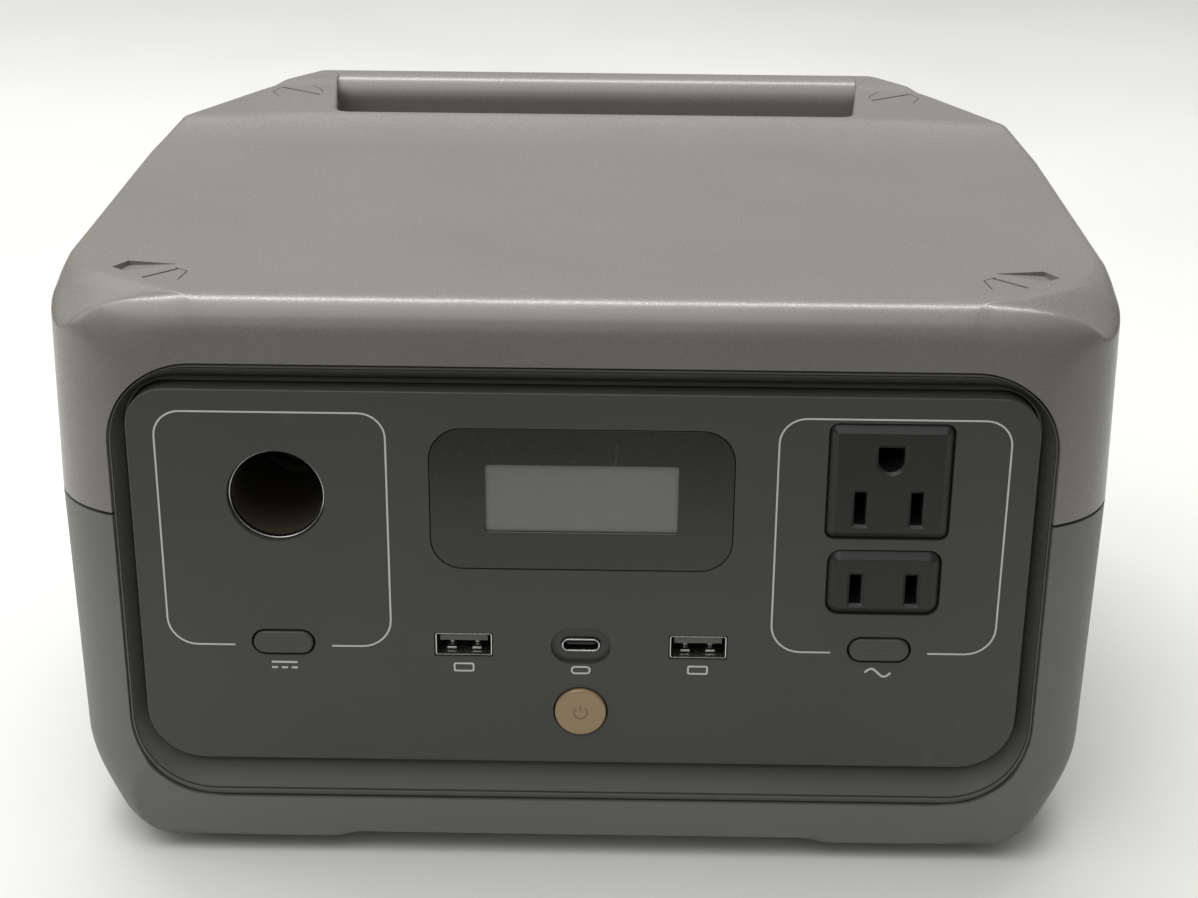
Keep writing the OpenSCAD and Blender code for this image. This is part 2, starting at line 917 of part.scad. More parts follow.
tray_posts = [[-84, -42], [84, -42], [-84, 42], [84, 42]];

module electronics_tray() {
    color(dark_plastic)
    difference() {
        union() {
            slab_z(tray_z, tray_z + 2) soft_rect(184, 96, 6);
            for (spot = tray_posts)
                translate([spot.x, spot.y, tray_z + 1]) cylinder(r = 3.5, h = inverter_z - tray_z - 1);
            for (x = [-70, 70], y = [-34, 34])
                translate([x, y, cell_low + cell_len + 0.4])
                    cylinder(r = 3, h = tray_z + 1 - cell_low - cell_len - 0.4);
        }
        for (spot = tray_posts)
            translate([spot.x, spot.y, tray_z - 1]) cylinder(r = 1.25, h = 12);
        for (x = [-30, 0, 30])
            translate([x, 0, tray_z - 1]) linear_extrude(4) pill(20, 8);
    }
}

module inverter_board() {
    color(board_green)
    difference() {
        slab_z(inverter_z, inverter_z + board_t) soft_rect(178, 94, 3);
        for (spot = tray_posts)
            translate([spot.x, spot.y, inverter_z - 1]) cylinder(r = 1.25, h = 4);
    }
}

module board_screws() {
    color(metal)
    for (spot = tray_posts)
        translate([spot.x, spot.y, 0]) {
            translate([0, 0, inverter_z - 5]) cylinder(r = 1.25, h = 5 + board_t);
            translate([0, 0, inverter_z + board_t]) cylinder(r = 2.4, h = 1.8);
        }
}

inverter_top = inverter_z + board_t;

module heatsink() {
    block([-6, -38, inverter_top], [-3, 38, inverter_top + 32]);
    for (z = [2 : 6 : 26])
        block([-4, -38, inverter_top + z], [9, 38, inverter_top + z + 1.6]);
}

module left_heatsink() {
    color(metal) translate([-62, 0, 0]) mirror([1, 0, 0]) heatsink();
}

module right_heatsink() {
    color(metal) translate([62, 0, 0]) heatsink();
}

module transformer_core() {
    color("#3b3b3d")
    translate([0, 16, inverter_top])
    difference() {
        block([-22, -10, 0], [22, 10, 34]);
        for (side = [-1, 1])
            translate([side * 12, 0, 17]) cube([10, 22, 22], center = true);
    }
}

module transformer_winding() {
    color("#d0a23c")
    translate([0, 16, inverter_top])
    difference() {
        block([-16.5, -16, 7], [16.5, 16, 27]);
        block([-7, -10, 6], [7, 10, 28]);
    }
}

module inductors() {
    color("#b5652c")
    for (x = [-32, 32])
        translate([x, -22, inverter_top + 9])
            rotate_extrude() translate([8, -8]) square([7, 16]);
}

module capacitors() {
    color("#26323f")
    for (x = [-10, 10], y = [-34, -14])
        translate([x, y, inverter_top]) cylinder(r = 8, h = 30);
}

// ---- Wiring ----

module battery_leads() {
    color("#b02a22")
    for (side = [-1, 1])
        wire([
            [side * 6 + 40, -18, 87.3],
            [side * 6 + 40, -46, 87.3],
            [side * 6 + 40, -57, 90],
            [side * 6 + 40, -56, 106],
            [side * 6 + 40, -42, 108],
            [side * 6 + 40, -42, inverter_top]
        ], 1.8, [1, 0, 0]);
}

module outlet_leads() {
    color("#22221f")
    for (side = [-1, 1])
        wire([
            [side_x + side * blade_pitch / 2, outlet_back + 3, three_pin_blade_z],
            [side_x + side * blade_pitch / 2, -68, three_pin_blade_z],
            [side_x + side * 6, -54, 104],
            [side_x + side * 6, -42, 108],
            [side_x + side * 6, -42, inverter_top]
        ], 1.4, [1, 0, 0]);
}

module socket_leads() {
    color("#b02a22")
    wire([
        [-side_x, -56, socket_z],
        [-side_x, -51, socket_z],
        [-side_x, -50, 106],
        [-side_x, -40, 108],
        [-side_x, -40, inverter_top]
    ], 1.4, [1, 0, 0]);
}

top_shell();
lower_shell();
seam_gasket();
front_bezel();
front_panel();
display_window();
lcd_panel();
backlight_tray();
power_button();
dc_button();
ac_button();
power_plunger();
dc_plunger();
ac_plunger();
button_switches();
io_board();
usb_a_left_shell();
usb_a_right_shell();
usb_a_left_tongue();
usb_a_right_tongue();
usb_c_shell();
usb_c_tongue();
car_socket_barrel();
car_socket_housing();
car_socket_contact();
three_pin_outlet();
two_pin_outlet();
outlet_contacts();
rear_panel();
ac_inlet();
ac_inlet_pins();
dc_inlet();
dc_inlet_pins();
left_vent_grille();
right_vent_grille();
intake_fan_frame();
intake_fan_rotor();
exhaust_fan_frame();
exhaust_fan_rotor();
battery_cells();
lower_cell_holder();
upper_cell_holder();
bottom_busbars();
top_busbars();
bms_board();
electronics_tray();
inverter_board();
left_heatsink();
right_heatsink();
transformer_core();
transformer_winding();
inductors();
capacitors();
battery_leads();
outlet_leads();
socket_leads();
rubber_feet();
case_screws();
panel_screws();
board_screws();
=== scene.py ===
"""Looks of a portable power station: two moulded shells with a grip bar, and a front panel of ports."""

import math

import bmesh
import bpy
import numpy as np
from mathutils import Matrix, Vector
from mathutils.geometry import tessellate_polygon


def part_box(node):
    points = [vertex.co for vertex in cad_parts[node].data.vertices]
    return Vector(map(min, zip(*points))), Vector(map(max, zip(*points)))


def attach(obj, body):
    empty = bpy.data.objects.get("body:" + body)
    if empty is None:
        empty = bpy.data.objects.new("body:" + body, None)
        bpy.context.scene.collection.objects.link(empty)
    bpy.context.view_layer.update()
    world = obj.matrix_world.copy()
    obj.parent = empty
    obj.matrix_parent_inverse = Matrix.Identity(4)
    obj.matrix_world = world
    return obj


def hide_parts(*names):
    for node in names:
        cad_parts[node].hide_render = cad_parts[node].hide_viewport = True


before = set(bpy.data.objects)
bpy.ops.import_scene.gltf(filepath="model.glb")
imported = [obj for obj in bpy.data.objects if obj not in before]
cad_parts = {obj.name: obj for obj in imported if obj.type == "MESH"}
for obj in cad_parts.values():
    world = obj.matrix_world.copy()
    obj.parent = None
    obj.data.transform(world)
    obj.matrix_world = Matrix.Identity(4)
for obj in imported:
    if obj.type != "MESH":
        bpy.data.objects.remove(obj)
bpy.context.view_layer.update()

# ---- Driving measures, in millimetres, taken from the CAD model ----

MM = 0.001


def box_mm(node):
    low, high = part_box(node)
    return low / MM, high / MM


def middle_mm(node):
    low, high = box_mm(node)
    return (low + high) / 2


def size_mm(node):
    low, high = box_mm(node)
    return high - low


TOP_LOW, TOP_HIGH = box_mm("top_shell")
LOWER_LOW, LOWER_HIGH = box_mm("lower_shell")
PANEL_LOW, PANEL_HIGH = box_mm("front_panel")
BEZEL_LOW, BEZEL_HIGH = box_mm("front_bezel")
HALF = TOP_HIGH.x
FRONT = TOP_LOW.y
REAR = TOP_HIGH.y
CREST = TOP_HIGH.z
FLAT = CREST - 5
STRIP = CREST - 1
PAD = LOWER_LOW.z
SEAM_LOW = LOWER_HIGH.z
SEAM_HIGH = SEAM_LOW + 0.8
WALL = 2.8
CORNER_R = 24
BASE_R = 23.5
OPEN_HALF = BEZEL_HIGH.x - 2
OPEN_LOW = BEZEL_LOW.z + 2.5
OPEN_HIGH = BEZEL_HIGH.z - 2.5
OPEN_R = 20.5
PANEL_FACE = PANEL_LOW.y
SLOT_FRONT = 53
SLOT_HALF = 78
BAR_DEPTH = 17.2
BAR_HEIGHT = 18
BAR_FRONT = REAR - BAR_DEPTH
BAR_UNDER = CREST - BAR_HEIGHT
EDGE_R = 8
FOOT_R = 10
PAD_HALF = 59
ARCH_HALF = 53
ARCH_RISE = 2


# ---- Outlines ----

def lerp(a, b, t):
    return a + (b - a) * t


def smooth(t):
    t = min(max(t, 0), 1)
    return t * t * (3 - 2 * t)


def rise(value, start, end):
    """0 before the start, 1 after the end, and smooth in between."""
    return smooth((value - start) / (end - start))


def spread(first, last, step):
    """Evenly spaced numbers about a step apart, without the last."""
    count = max(1, round((last - first) / step))
    return [lerp(first, last, k / count) for k in range(count)]


def corner_arc(before, corner, after, radius, steps):
    """The arc that rounds one corner, as steps + 1 points."""
    u = (before - corner).normalized()
    v = (after - corner).normalized()
    half_angle = u.angle(v) / 2
    centre = corner + (u + v).normalized() * radius / math.sin(half_angle)
    start = corner + u * radius / math.tan(half_angle) - centre
    end = corner + v * radius / math.tan(half_angle) - centre
    first = math.atan2(start.y, start.x)
    turn = (math.atan2(end.y, end.x) - first + math.pi) % (2 * math.pi) - math.pi
    angles = [first + turn * k / steps for k in range(steps + 1)]
    return [centre + radius * Vector((math.cos(a), math.sin(a))) for a in angles]


def rounded(corners, closed=True, steps=8):
    """Points of an outline through corners (x, y, radius); a radius of 0 keeps a corner sharp."""
    points = []
    spots = [Vector(c[:2]) for c in corners]
    for i, corner in enumerate(corners):
        radius = corner[2]
        if radius <= 0 or (not closed and i in (0, len(corners) - 1)):
            points.append(spots[i])
        else:
            points += corner_arc(spots[i - 1], spots[i], spots[(i + 1) % len(spots)], radius, steps)
    return points


def soft_rect(cx, cz, w, h, r_low, r_high=None, steps=8):
    """A rounded rectangle as a function of how far it is grown outwards."""
    r_high = r_low if r_high is None else r_high

    def outline(grow=0):
        x, z = w / 2 + grow, h / 2 + grow
        low, high = max(r_low + grow, 0.02), max(r_high + grow, 0.02)
        return rounded([(cx - x, cz - z, low), (cx + x, cz - z, low),
                        (cx + x, cz + z, high), (cx - x, cz + z, high)], steps=steps)
    return outline


def pill(cx, cz, w, h):
    def outline(grow=0):
        radius = h / 2 + grow
        return soft_rect(cx, cz, w + 2 * grow, h + 2 * grow, radius * 0.999, steps=12)(0)
    return outline


def circle(cx, cz, radius, count=72):
    def outline(grow=0):
        turns = [2 * math.pi * k / count for k in range(count)]
        reach = radius + grow
        return [Vector((cx + reach * math.cos(a), cz + reach * math.sin(a))) for a in turns]
    return outline


# ---- Meshes ----

def make_object(name, points, faces, sharp=32):
    """A mesh object from points in millimetres, smooth except where it bends more than sharp degrees."""
    mesh = bpy.data.meshes.new(name)
    mesh.from_pydata([tuple(c * MM for c in p) for p in points], [], faces)
    tidy = bmesh.new()
    tidy.from_mesh(mesh)
    bmesh.ops.remove_doubles(tidy, verts=tidy.verts, dist=1e-7)
    bmesh.ops.dissolve_degenerate(tidy, edges=tidy.edges, dist=1e-8)
    bmesh.ops.recalc_face_normals(tidy, faces=tidy.faces)
    tidy.to_mesh(mesh)
    tidy.free()
    piece = bpy.data.objects.new(name, mesh)
    bpy.context.scene.collection.objects.link(piece)
    shade(piece, sharp)
    return piece


def shade(piece, sharp=32):
    mesh = piece.data
    mesh.polygons.foreach_set("use_smooth", [True] * len(mesh.polygons))
    mesh.set_sharp_from_angle(angle=math.radians(sharp))


def even_normals(piece):
    """Keeps flat faces flat beside their rounded edges."""
    modifier = piece.modifiers.new("even", "WEIGHTED_NORMAL")
    modifier.keep_sharp = True
    modifier.weight = 60


def bake_modifiers(piece):
    graph = bpy.context.evaluated_depsgraph_get()
    mesh = bpy.data.meshes.new_from_object(piece.evaluated_get(graph))
    piece.modifiers.clear()
    piece.data = mesh


def join(name, pieces):
    """One object from several, all of them at the origin."""
    whole = bmesh.new()
    for piece in pieces:
        whole.from_mesh(piece.data)
        bpy.data.objects.remove(piece)
    mesh = bpy.data.meshes.new(name)
    whole.to_mesh(mesh)
    whole.free()
    joined = bpy.data.objects.new(name, mesh)
    bpy.context.scene.collection.objects.link(joined)
    shade(joined)
    return joined


def grid_faces(rows, columns, wrap_rows=False, wrap_columns=False):
    faces = []
    for i in range(rows if wrap_rows else rows - 1):
        for j in range(columns if wrap_columns else columns - 1):
            a, b = i * columns, (i + 1) % rows * columns
            k = (j + 1) % columns
            faces.append((a + j, a + k, b + k, b + j))
    return faces


def loft(name, loops, closed_profile=False, first_cap=False, last_cap=False, sharp=32):
    """A skin over closed loops of the same number of points."""
    count = len(loops[0])
    faces = grid_faces(len(loops), count, closed_profile, True)
    if first_cap:
        faces.append(tuple(range(count)))
    if last_cap:
        start = (len(loops) - 1) * count
        faces.append(tuple(range(start, start + count)))
    return make_object(name, [p for loop in loops for p in loop], faces, sharp)


def soft_edge(size, steps=3):
    """A round edge as (inset, depth) from the front face to the side wall."""
    turns = [math.pi / 2 * k / steps for k in range(steps + 1)]
    return [(size * (1 - math.sin(a)), size * (1 - math.cos(a))) for a in turns]


def plate(name, outline, front, back, edge, holes=(), hole_edge=((0.15, 0), (0, 0.15)), sharp=32):
    """A plate that faces -Y, with a shaped edge around it and around its holes."""
    points, faces, front_rings, back_rings = [], [], [], []
    for shape, profile, sign in [(outline, edge, -1)] + [(hole, hole_edge, 1) for hole in holes]:
        rings = [[(p.x, front + depth, p.y) for p in shape(sign * inset)] for inset, depth in profile]
        rings.append([(p.x, back, p.y) for p in shape(0)])
        start, count = len(points), len(rings[0])
        faces += [tuple(start + v for v in face) for face in grid_faces(len(rings), count, False, True)]
        points += [p for ring in rings for p in ring]
        front_rings.append((start, rings[0]))
        back_rings.append((start + (len(rings) - 1) * count, rings[-1]))
    for caps in (front_rings, back_rings):
        index = [start + k for start, ring in caps for k in range(len(ring))]
        flat = [[Vector((x, z, 0)) for x, _, z in ring] for _, ring in caps]
        faces += [tuple(index[v] for v in triangle) for triangle in tessellate_polygon(flat)]
    return make_object(name, points, faces, sharp)


def turned(name, cx, cz, profile, ring=False, count=96):
    """A piece turned about a line along Y from (radius, y) points: a ring, or a solid with two ends."""
    turns = [2 * math.pi * k / count for k in range(count)]
    loops = [[(cx + r * math.cos(a), y, cz + r * math.sin(a)) for a in turns] for r, y in profile]
    return loft(name, loops, closed_profile=ring, first_cap=not ring, last_cap=not ring)


def ribbon(name, path, width, y, thickness=0.04):
    """A thin flat line of paint or relief along an open path on the panel."""
    last = len(path) - 1
    loops = []
    for i, spot in enumerate(path):
        along = (path[min(i + 1, last)] - path[max(i - 1, 0)]).normalized()
        side = Vector((-along.y, along.x)) * width / 2
        left, right = spot + side, spot - side
        loops.append([(left.x, y, left.y), (right.x, y, right.y),
                      (right.x, y + thickness, right.y), (left.x, y + thickness, left.y)])
    return loft(name, loops, first_cap=True, last_cap=True)


def level_line(name, x, z, half_length, width, y, thickness=0.04):
    """A level ribbon with its middle at x and z."""
    return ribbon(name, [Vector((x - half_length, z)), Vector((x + half_length, z))], width, y, thickness)


def prism(name, outline, axis, first, last):
    """A solid from an outline; axis says which way it is extruded and what its two numbers mean."""
    place = {
        "x": lambda p, c: (c, p.x, p.y),
        "y": lambda p, c: (p.x, c, p.y),
        "z": lambda p, c: (p.x, p.y, c),
    }[axis]
    loops = [[place(p, c) for p in outline] for c in (first, last)]
    return loft(name, loops, first_cap=True, last_cap=True)


def combine(piece, tools, operation="DIFFERENCE"):
    """Cuts the tools out of the piece, or adds them to it, and removes them."""
    for tool in tools:
        modifier = piece.modifiers.new("combine", "BOOLEAN")
        modifier.operation = operation
        modifier.solver = "MANIFOLD"
        modifier.object = tool
        bake_modifiers(piece)
        bpy.data.objects.remove(tool)


# ---- Form of the two shells, as arches over the body's width at each depth ----

SIDE_STEPS = 22
BEVEL_STEPS = 3
ROUND_STEPS = 9
ROOF_STEPS = 26
FOOT_STEPS = 16
FRONT_ROWS = 40

BEYOND = 200
SIDE_END = 37
REAR_CORNER_X = HALF - 22.5
REAR_CORNER_Y = 82
REAR_HALF = HALF - 40.5
ROOF_DRAW = 4.4
RAMP_FOOT = 39.75
RAMP_TOP = 51
STEP_FOOT = 84
STEP_TOP = 88
SHOULDER = 5
BEVEL_WIDTH = 2
BEVEL_DROP = 0.9
# How much each side moves in per millimetre of height, above and below the seam
LEAN = 0.02
DRAFT = 0.014

# Half width by y, without the last point of its outline, so that the back stays wide
PLAN = rounded([(-BEYOND, HALF, 0), (SIDE_END, HALF, 60), (REAR_CORNER_Y, REAR_CORNER_X, 60),
                (REAR, REAR_HALF, 9), (REAR, 0, 0)], closed=False, steps=14)[:-1]
# Height of the top by y
RAMP = rounded([(-BEYOND, FLAT, 0), (RAMP_FOOT, FLAT, 50), (RAMP_TOP, STRIP, 2), (STEP_FOOT, STRIP, 4),
                (STEP_TOP, CREST, 4), (BEYOND, CREST, 0)], closed=False)
# Half width of the top's flat part by depth behind the front
ROOF_EDGE = rounded([(-10, 80, 0), (5.6, 87, 4), (24.2, 114, 16), (36, HALF - ROOF_DRAW, 12),
                     (2 * BEYOND, HALF - ROOF_DRAW, 0)], closed=False)


def read_curve(points, at):
    return float(np.interp(at, [p.x for p in points], [p.y for p in points]))


def drawn_in(radius, depth):
    """How far a round of that radius still draws the surface in at a depth behind its start."""
    if depth >= radius:
        return 0
    return radius - math.sqrt(radius ** 2 - (radius - depth) ** 2)


def lean(z):
    """How much narrower each side is at a height, because the sides lean in towards the top."""
    return max(0, z - SEAM_HIGH) * LEAN


def narrowing(y):
    return HALF - read_curve(PLAN, y)


def roof(y, x=0):
    """Height of the top; the ramp's ends bend towards the front."""
    forward = 5
    bend = forward * rise(abs(x), 84, 112) * (1 - rise(y, 62, 78))
    rounds = drawn_in(EDGE_R, y - FRONT) + drawn_in(EDGE_R, REAR - y)
    return read_curve(RAMP, y + bend) - rounds


def top_half(y):
    """Right half of the top shell's arch at y: side wall, soft shoulder, crisp bevel, roof to the middle."""
    depth = y - FRONT
    narrow = narrowing(y) + drawn_in(CORNER_R, depth)
    edge_x = min(read_curve(ROOF_EDGE, depth), HALF - narrowing(y) - ROOF_DRAW)
    edge = Vector((edge_x, roof(y, edge_x)))
    # Where the edge runs askew, the bevel is wider across the arch
    turn = read_curve(ROOF_EDGE, depth + 0.5) - read_curve(ROOF_EDGE, depth - 0.5)
    skew = min(math.hypot(1, turn), 2.2)
    # The bevel shows around the front corners only, and the shoulder below it is tallest there
    crisp = rise(depth, 5.6, 10.6) * (1 - rise(depth, 26, 38))
    shoulder_z = edge.y - SHOULDER - SHOULDER * (1 - rise(depth, 10, 34))
    shoulder = Vector((HALF - lean(shoulder_z) - narrow, shoulder_z))
    bevel_x = min(edge.x + 0.4 + BEVEL_WIDTH * crisp * skew, shoulder.x - 1.6)
    bevel = Vector((bevel_x, edge.y - 0.05 - BEVEL_DROP * crisp))
    fall = 0.65 * crisp * (shoulder.x - bevel.x) / skew
    corner = Vector((shoulder.x, max(bevel.y - fall, shoulder.y + 1)))
    points = []
    for k in range(SIDE_STEPS):
        z = lerp(SEAM_HIGH, shoulder_z, k / SIDE_STEPS)
        points.append((HALF - lean(z) - narrow, y, z))
    for k in range(ROUND_STEPS):
        t = k / ROUND_STEPS
        spot = (1 - t) ** 2 * shoulder + 2 * t * (1 - t) * corner + t ** 2 * bevel
        points.append((spot.x, y, spot.y))
    for k in range(BEVEL_STEPS + 1):
        spot = bevel.lerp(edge, k / BEVEL_STEPS)
        points.append((spot.x, y, spot.y))
    for k in range(1, ROOF_STEPS + 1):
        x = edge_x * (1 - k / ROOF_STEPS)
        points.append((x, y, roof(y, x)))
    return points


def draft(z):
    """How much narrower each side of the lower shell is at a height."""
    return (SEAM_LOW - z) * DRAFT


def lower_half(y):
    """Right half of the lower shell's arch at y, from the seam down and in to the middle."""
    depth = y - FRONT
    side = HALF - narrowing(y)
    floor_z = PAD + drawn_in(FOOT_R, REAR - y)
    side_draw = drawn_in(CORNER_R, depth)
    foot_draw = 2.1 * max(0, 1 - depth / 4)
    centre = Vector((side - draft(PAD + BASE_R) - BASE_R, floor_z + BASE_R))
    points = []
    for k in range(SIDE_STEPS):
        z = lerp(SEAM_LOW, centre.y, k / SIDE_STEPS)
        points.append((side - draft(z) - side_draw, y, z))
    for k in range(FOOT_STEPS + 1):
        a = math.pi / 2 * k / FOOT_STEPS
        reach = BASE_R - math.cos(a) ** 2 * side_draw - math.sin(a) ** 2 * foot_draw
        points.append((centre.x + reach * math.cos(a), y, centre.y - reach * math.sin(a)))
    outer = min(PAD_HALF, centre.x - 1)
    inner = min(ARCH_HALF, centre.x - 7)
    across = [lerp(centre.x, outer, k / 4) for k in range(1, 5)] + [inner]
    across += [inner * (1 - k / 10) for k in range(1, 11)]
    for x in across:
        step = ARCH_RISE if x <= inner else 0
        points.append((x, y, floor_z + foot_draw + step * rise(depth, -4, 4)))
    return points


def opening_distance(x, z):
    """Distance outside the front opening's outline; negative inside it."""
    middle = (OPEN_LOW + OPEN_HIGH) / 2
    dx = abs(x) - (OPEN_HALF - OPEN_R)
    dz = abs(z - middle) - ((OPEN_HIGH - OPEN_LOW) / 2 - OPEN_R)
    outside = math.hypot(max(dx, 0), max(dz, 0))
    return outside + min(max(dx, dz), 0) - OPEN_R


def from_opening(path):
    """The part of a path outside the front opening, as FRONT_ROWS + 1 evenly spaced points."""
    halvings = 40
    kept = []
    for a, b in zip(path, path[1:]):
        a, b = Vector(a), Vector(b)
        if not kept and opening_distance(b.x, b.z) > 0:
            low, high = 0, 1
            for _ in range(halvings):
                mid = (low + high) / 2
                spot = a.lerp(b, mid)
                low, high = (low, mid) if opening_distance(spot.x, spot.z) > 0 else (mid, high)
            kept.append(a.lerp(b, high))
        if kept:
            kept.append(b)
    lengths = [0]
    for a, b in zip(kept, kept[1:]):
        lengths.append(lengths[-1] + (b - a).length)
    at = np.linspace(0, lengths[-1], FRONT_ROWS + 1)
    return list(zip(*(np.interp(at, lengths, [p[c] for p in kept]) for c in range(3))))


def inner_anchor(spot):
    """A place inside the front opening, where the row of points to this spot starts."""
    return (min(spot[0], 76), spot[1], min(max(spot[2], 44), 98))


FRONT_DEPTHS = [CORNER_R * (1 - math.cos(math.radians(a))) for a in range(0, 91, 4)] + [CORNER_R]
REAR_STATIONS = [REAR - FOOT_R * (1 - math.cos(math.radians(a))) for a in range(90, -1, -6)]
STATIONS = (spread(FRONT + CORNER_R, 18, 7) + spread(18, 34, 3) + spread(34, 54, 1) + spread(54, 83, 4)
            + spread(83, 89, 0.75) + spread(89, REAR - FOOT_R, 2.5) + REAR_STATIONS)


def shell_skin(name, half_arch):
    """Outer skin of a shell: rows from the front opening to the back, and a flat back."""
    arches = [half_arch(FRONT + depth) for depth in FRONT_DEPTHS]
    columns = []
    for i in range(len(arches[0])):
        path = [arch[i] for arch in arches]
        columns.append(from_opening([inner_anchor(path[0])] + path))
    rows = [list(row) for row in zip(*columns)]
    rows += [half_arch(y) for y in STATIONS[1:]]
    full = [row + [(-x, y, z) for x, y, z in reversed(row[:-1])] for row in rows]
    count = len(full[0])
    faces = grid_faces(len(full), count)
    start = (len(full) - 1) * count
    faces.append(tuple(range(start, start + count)))
    return make_object(name, [p for row in full for p in row], faces)


def thicken(skin):
    """Gives the skin its wall."""
    wall = skin.modifiers.new("wall", "SOLIDIFY")
    wall.thickness = WALL * MM
    wall.offset = -1
    bake_modifiers(skin)


# ---- Cutters ----

def slot_shaft():
    """The finger slot, flared a little where it meets the top."""
    draw = 5

    def loop(grow, z):
        corners = [(-SLOT_HALF + draw - grow, SLOT_FRONT - grow, 4 + grow),
                   (SLOT_HALF - draw + grow, SLOT_FRONT - grow, 4 + grow),
                   (SLOT_HALF, BAR_FRONT, 1), (-SLOT_HALF, BAR_FRONT, 1)]
        return [(p.x, p.y, z) for p in rounded(corners)]
    heights = [(0, 103), (0, STRIP - 1.3), (0.12, STRIP - 0.8),
               (0.4, STRIP - 0.4), (0.85, STRIP - 0.1), (1.3, STRIP + 0.02), (1.3, CREST + 3)]
    return loft("shaft", [loop(grow, z) for grow, z in heights], first_cap=True, last_cap=True)


def under_bar():
    """The space under the grip bar, open at the back, with the bar's lower rounds."""
    front_top, rear_top = Vector((BAR_FRONT, CREST)), Vector((REAR, CREST))
    front_foot, rear_foot = Vector((BAR_FRONT, BAR_UNDER)), Vector((REAR, BAR_UNDER))
    rear_arc = corner_arc(rear_top, rear_foot, front_foot, 5, 6)
    front_arc = corner_arc(rear_foot, front_foot, front_top, 5, 6)
    inside, outside, above = SLOT_FRONT + 25, REAR + 5, BAR_UNDER + 5
    start = [Vector((inside, 102.8)), Vector((outside, 98.5)), Vector((outside, above))]
    end = [Vector((inside, above))]
    return prism("under", start + rear_arc + front_arc + end, "x", -SLOT_HALF, SLOT_HALF)


def bar_front_round():
    """What the round along the bar's upper front edge leaves free."""
    arc = corner_arc(Vector((BAR_FRONT, BAR_UNDER)), Vector((BAR_FRONT, CREST)), Vector((REAR, CREST)), 7, 10)
    above, before = CREST + 3, BAR_FRONT - 1
    over = [Vector((arc[-1].x, above)), Vector((before, above)), Vector((before, arc[0].y))]
    return prism("bar_round", arc + over, "x", -SLOT_HALF, SLOT_HALF)


def grip_block():
    """Solid material around the finger space, just under the skin."""
    back = REAR - 1.2
    profile = rounded([(SLOT_FRONT - WALL, 110, 0), (SLOT_FRONT + 10, 99, 0), (back, 96, 0),
                       (back, CREST - 1.2, 7), (88, CREST - 1.2, 0), (84, STRIP - 0.8, 0),
                       (SLOT_FRONT - WALL, STRIP - 0.8, 0)])
    return prism("block", profile, "x", -SLOT_HALF - WALL, SLOT_HALF + WALL)


def groove(path, width, top, deep):
    """A straight-sided groove in the top along a path of (x, y)."""
    last = len(path) - 1
    loops = []
    for i, spot in enumerate(path):
        along = (path[min(i + 1, last)] - path[max(i - 1, 0)]).normalized()
        side = Vector((-along.y, along.x)) * width / 2
        left, right = spot + side, spot - side
        loops.append([(left.x, left.y, top + 2), (right.x, right.y, top + 2),
                      (lerp(right.x, spot.x, 0.5), lerp(right.y, spot.y, 0.5), top - deep),
                      (lerp(left.x, spot.x, 0.5), lerp(left.y, spot.y, 0.5), top - deep)])
    return loft("groove", loops, first_cap=True, last_cap=True)


def scoop(tip, ends, top, deep):
    """A shallow wedge that starts at its tip and is deepest between its ends."""
    tip_low, tip_high = (tip.x, tip.y, top - 0.05), (tip.x, tip.y, top + 2)
    low = [(e.x, e.y, top - d) for e, d in zip(ends, deep)]
    high = [(e.x, e.y, top + 2) for e in ends]
    count = len(ends)
    points = [tip_low] + low + [tip_high] + high
    over = count + 1
    faces = [tuple(range(count + 1)), tuple(range(over, over + count + 1))]
    faces += [(k, (k + 1) % over, over + (k + 1) % over, over + k) for k in range(over)]
    return make_object("scoop", points, faces)


def corner_marks(side):
    """Locating reliefs near the four corners of the top, on one side of it."""
    def at(x, behind_panel):
        return Vector((side * x, PANEL_FACE + behind_panel))
    front = [
        groove([at(92.4, 24.4), at(99.2, 17.7)], 1.3, FLAT, 0.9),
        groove([at(93.2, 25.1), at(90.1, 22.7), at(91, 16.5)], 0.6, FLAT, 0.4),
        scoop(at(93.5, 27.9), [at(104.2, 22.4), at(107.7, 25.2), at(104.9, 29.9)], FLAT, [0.8, 1.6, 1.0]),
    ]
    rear = [
        groove([at(92.8, 187.3), at(80.8, 178.9)], 1.4, STRIP, 0.9),
        groove([at(93, 187.5), at(95, 182), at(92.5, 176.5)], 0.5, STRIP, 0.35),
        groove([at(80.2, 181.7), at(81.4, 185.6), at(84, 190)], 0.5, STRIP, 0.35),
    ]
    return front + rear


def vent_cutters(side):
    grille_low, grille_high = box_mm("right_vent_grille")
    low, high = grille_low.z + 1, grille_high.z - 1
    middle_y, middle_z = (grille_low.y + grille_high.y) / 2, (low + high) / 2
    pitch, width = 5, 2.2
    ends = sorted((side * (HALF - WALL - 1), side * (HALF + 2)))
    slots = []
    for k in range(-4, 5):
        outline = soft_rect(middle_y + pitch * k, middle_z, width, high - low, width / 2 - 0.01)(0)
        slots.append(prism("vent", outline, "x", *ends))
    return slots


# ---- Shell pieces ----

def build_top_casing():
    piece = shell_skin("top_casing", top_half)
    thicken(piece)
    combine(piece, [grip_block()], "UNION")
    combine(piece, [slot_shaft(), under_bar(), bar_front_round()])
    combine(piece, corner_marks(1) + corner_marks(-1))
    shade(piece, 36)
    even_normals(piece)
    return piece


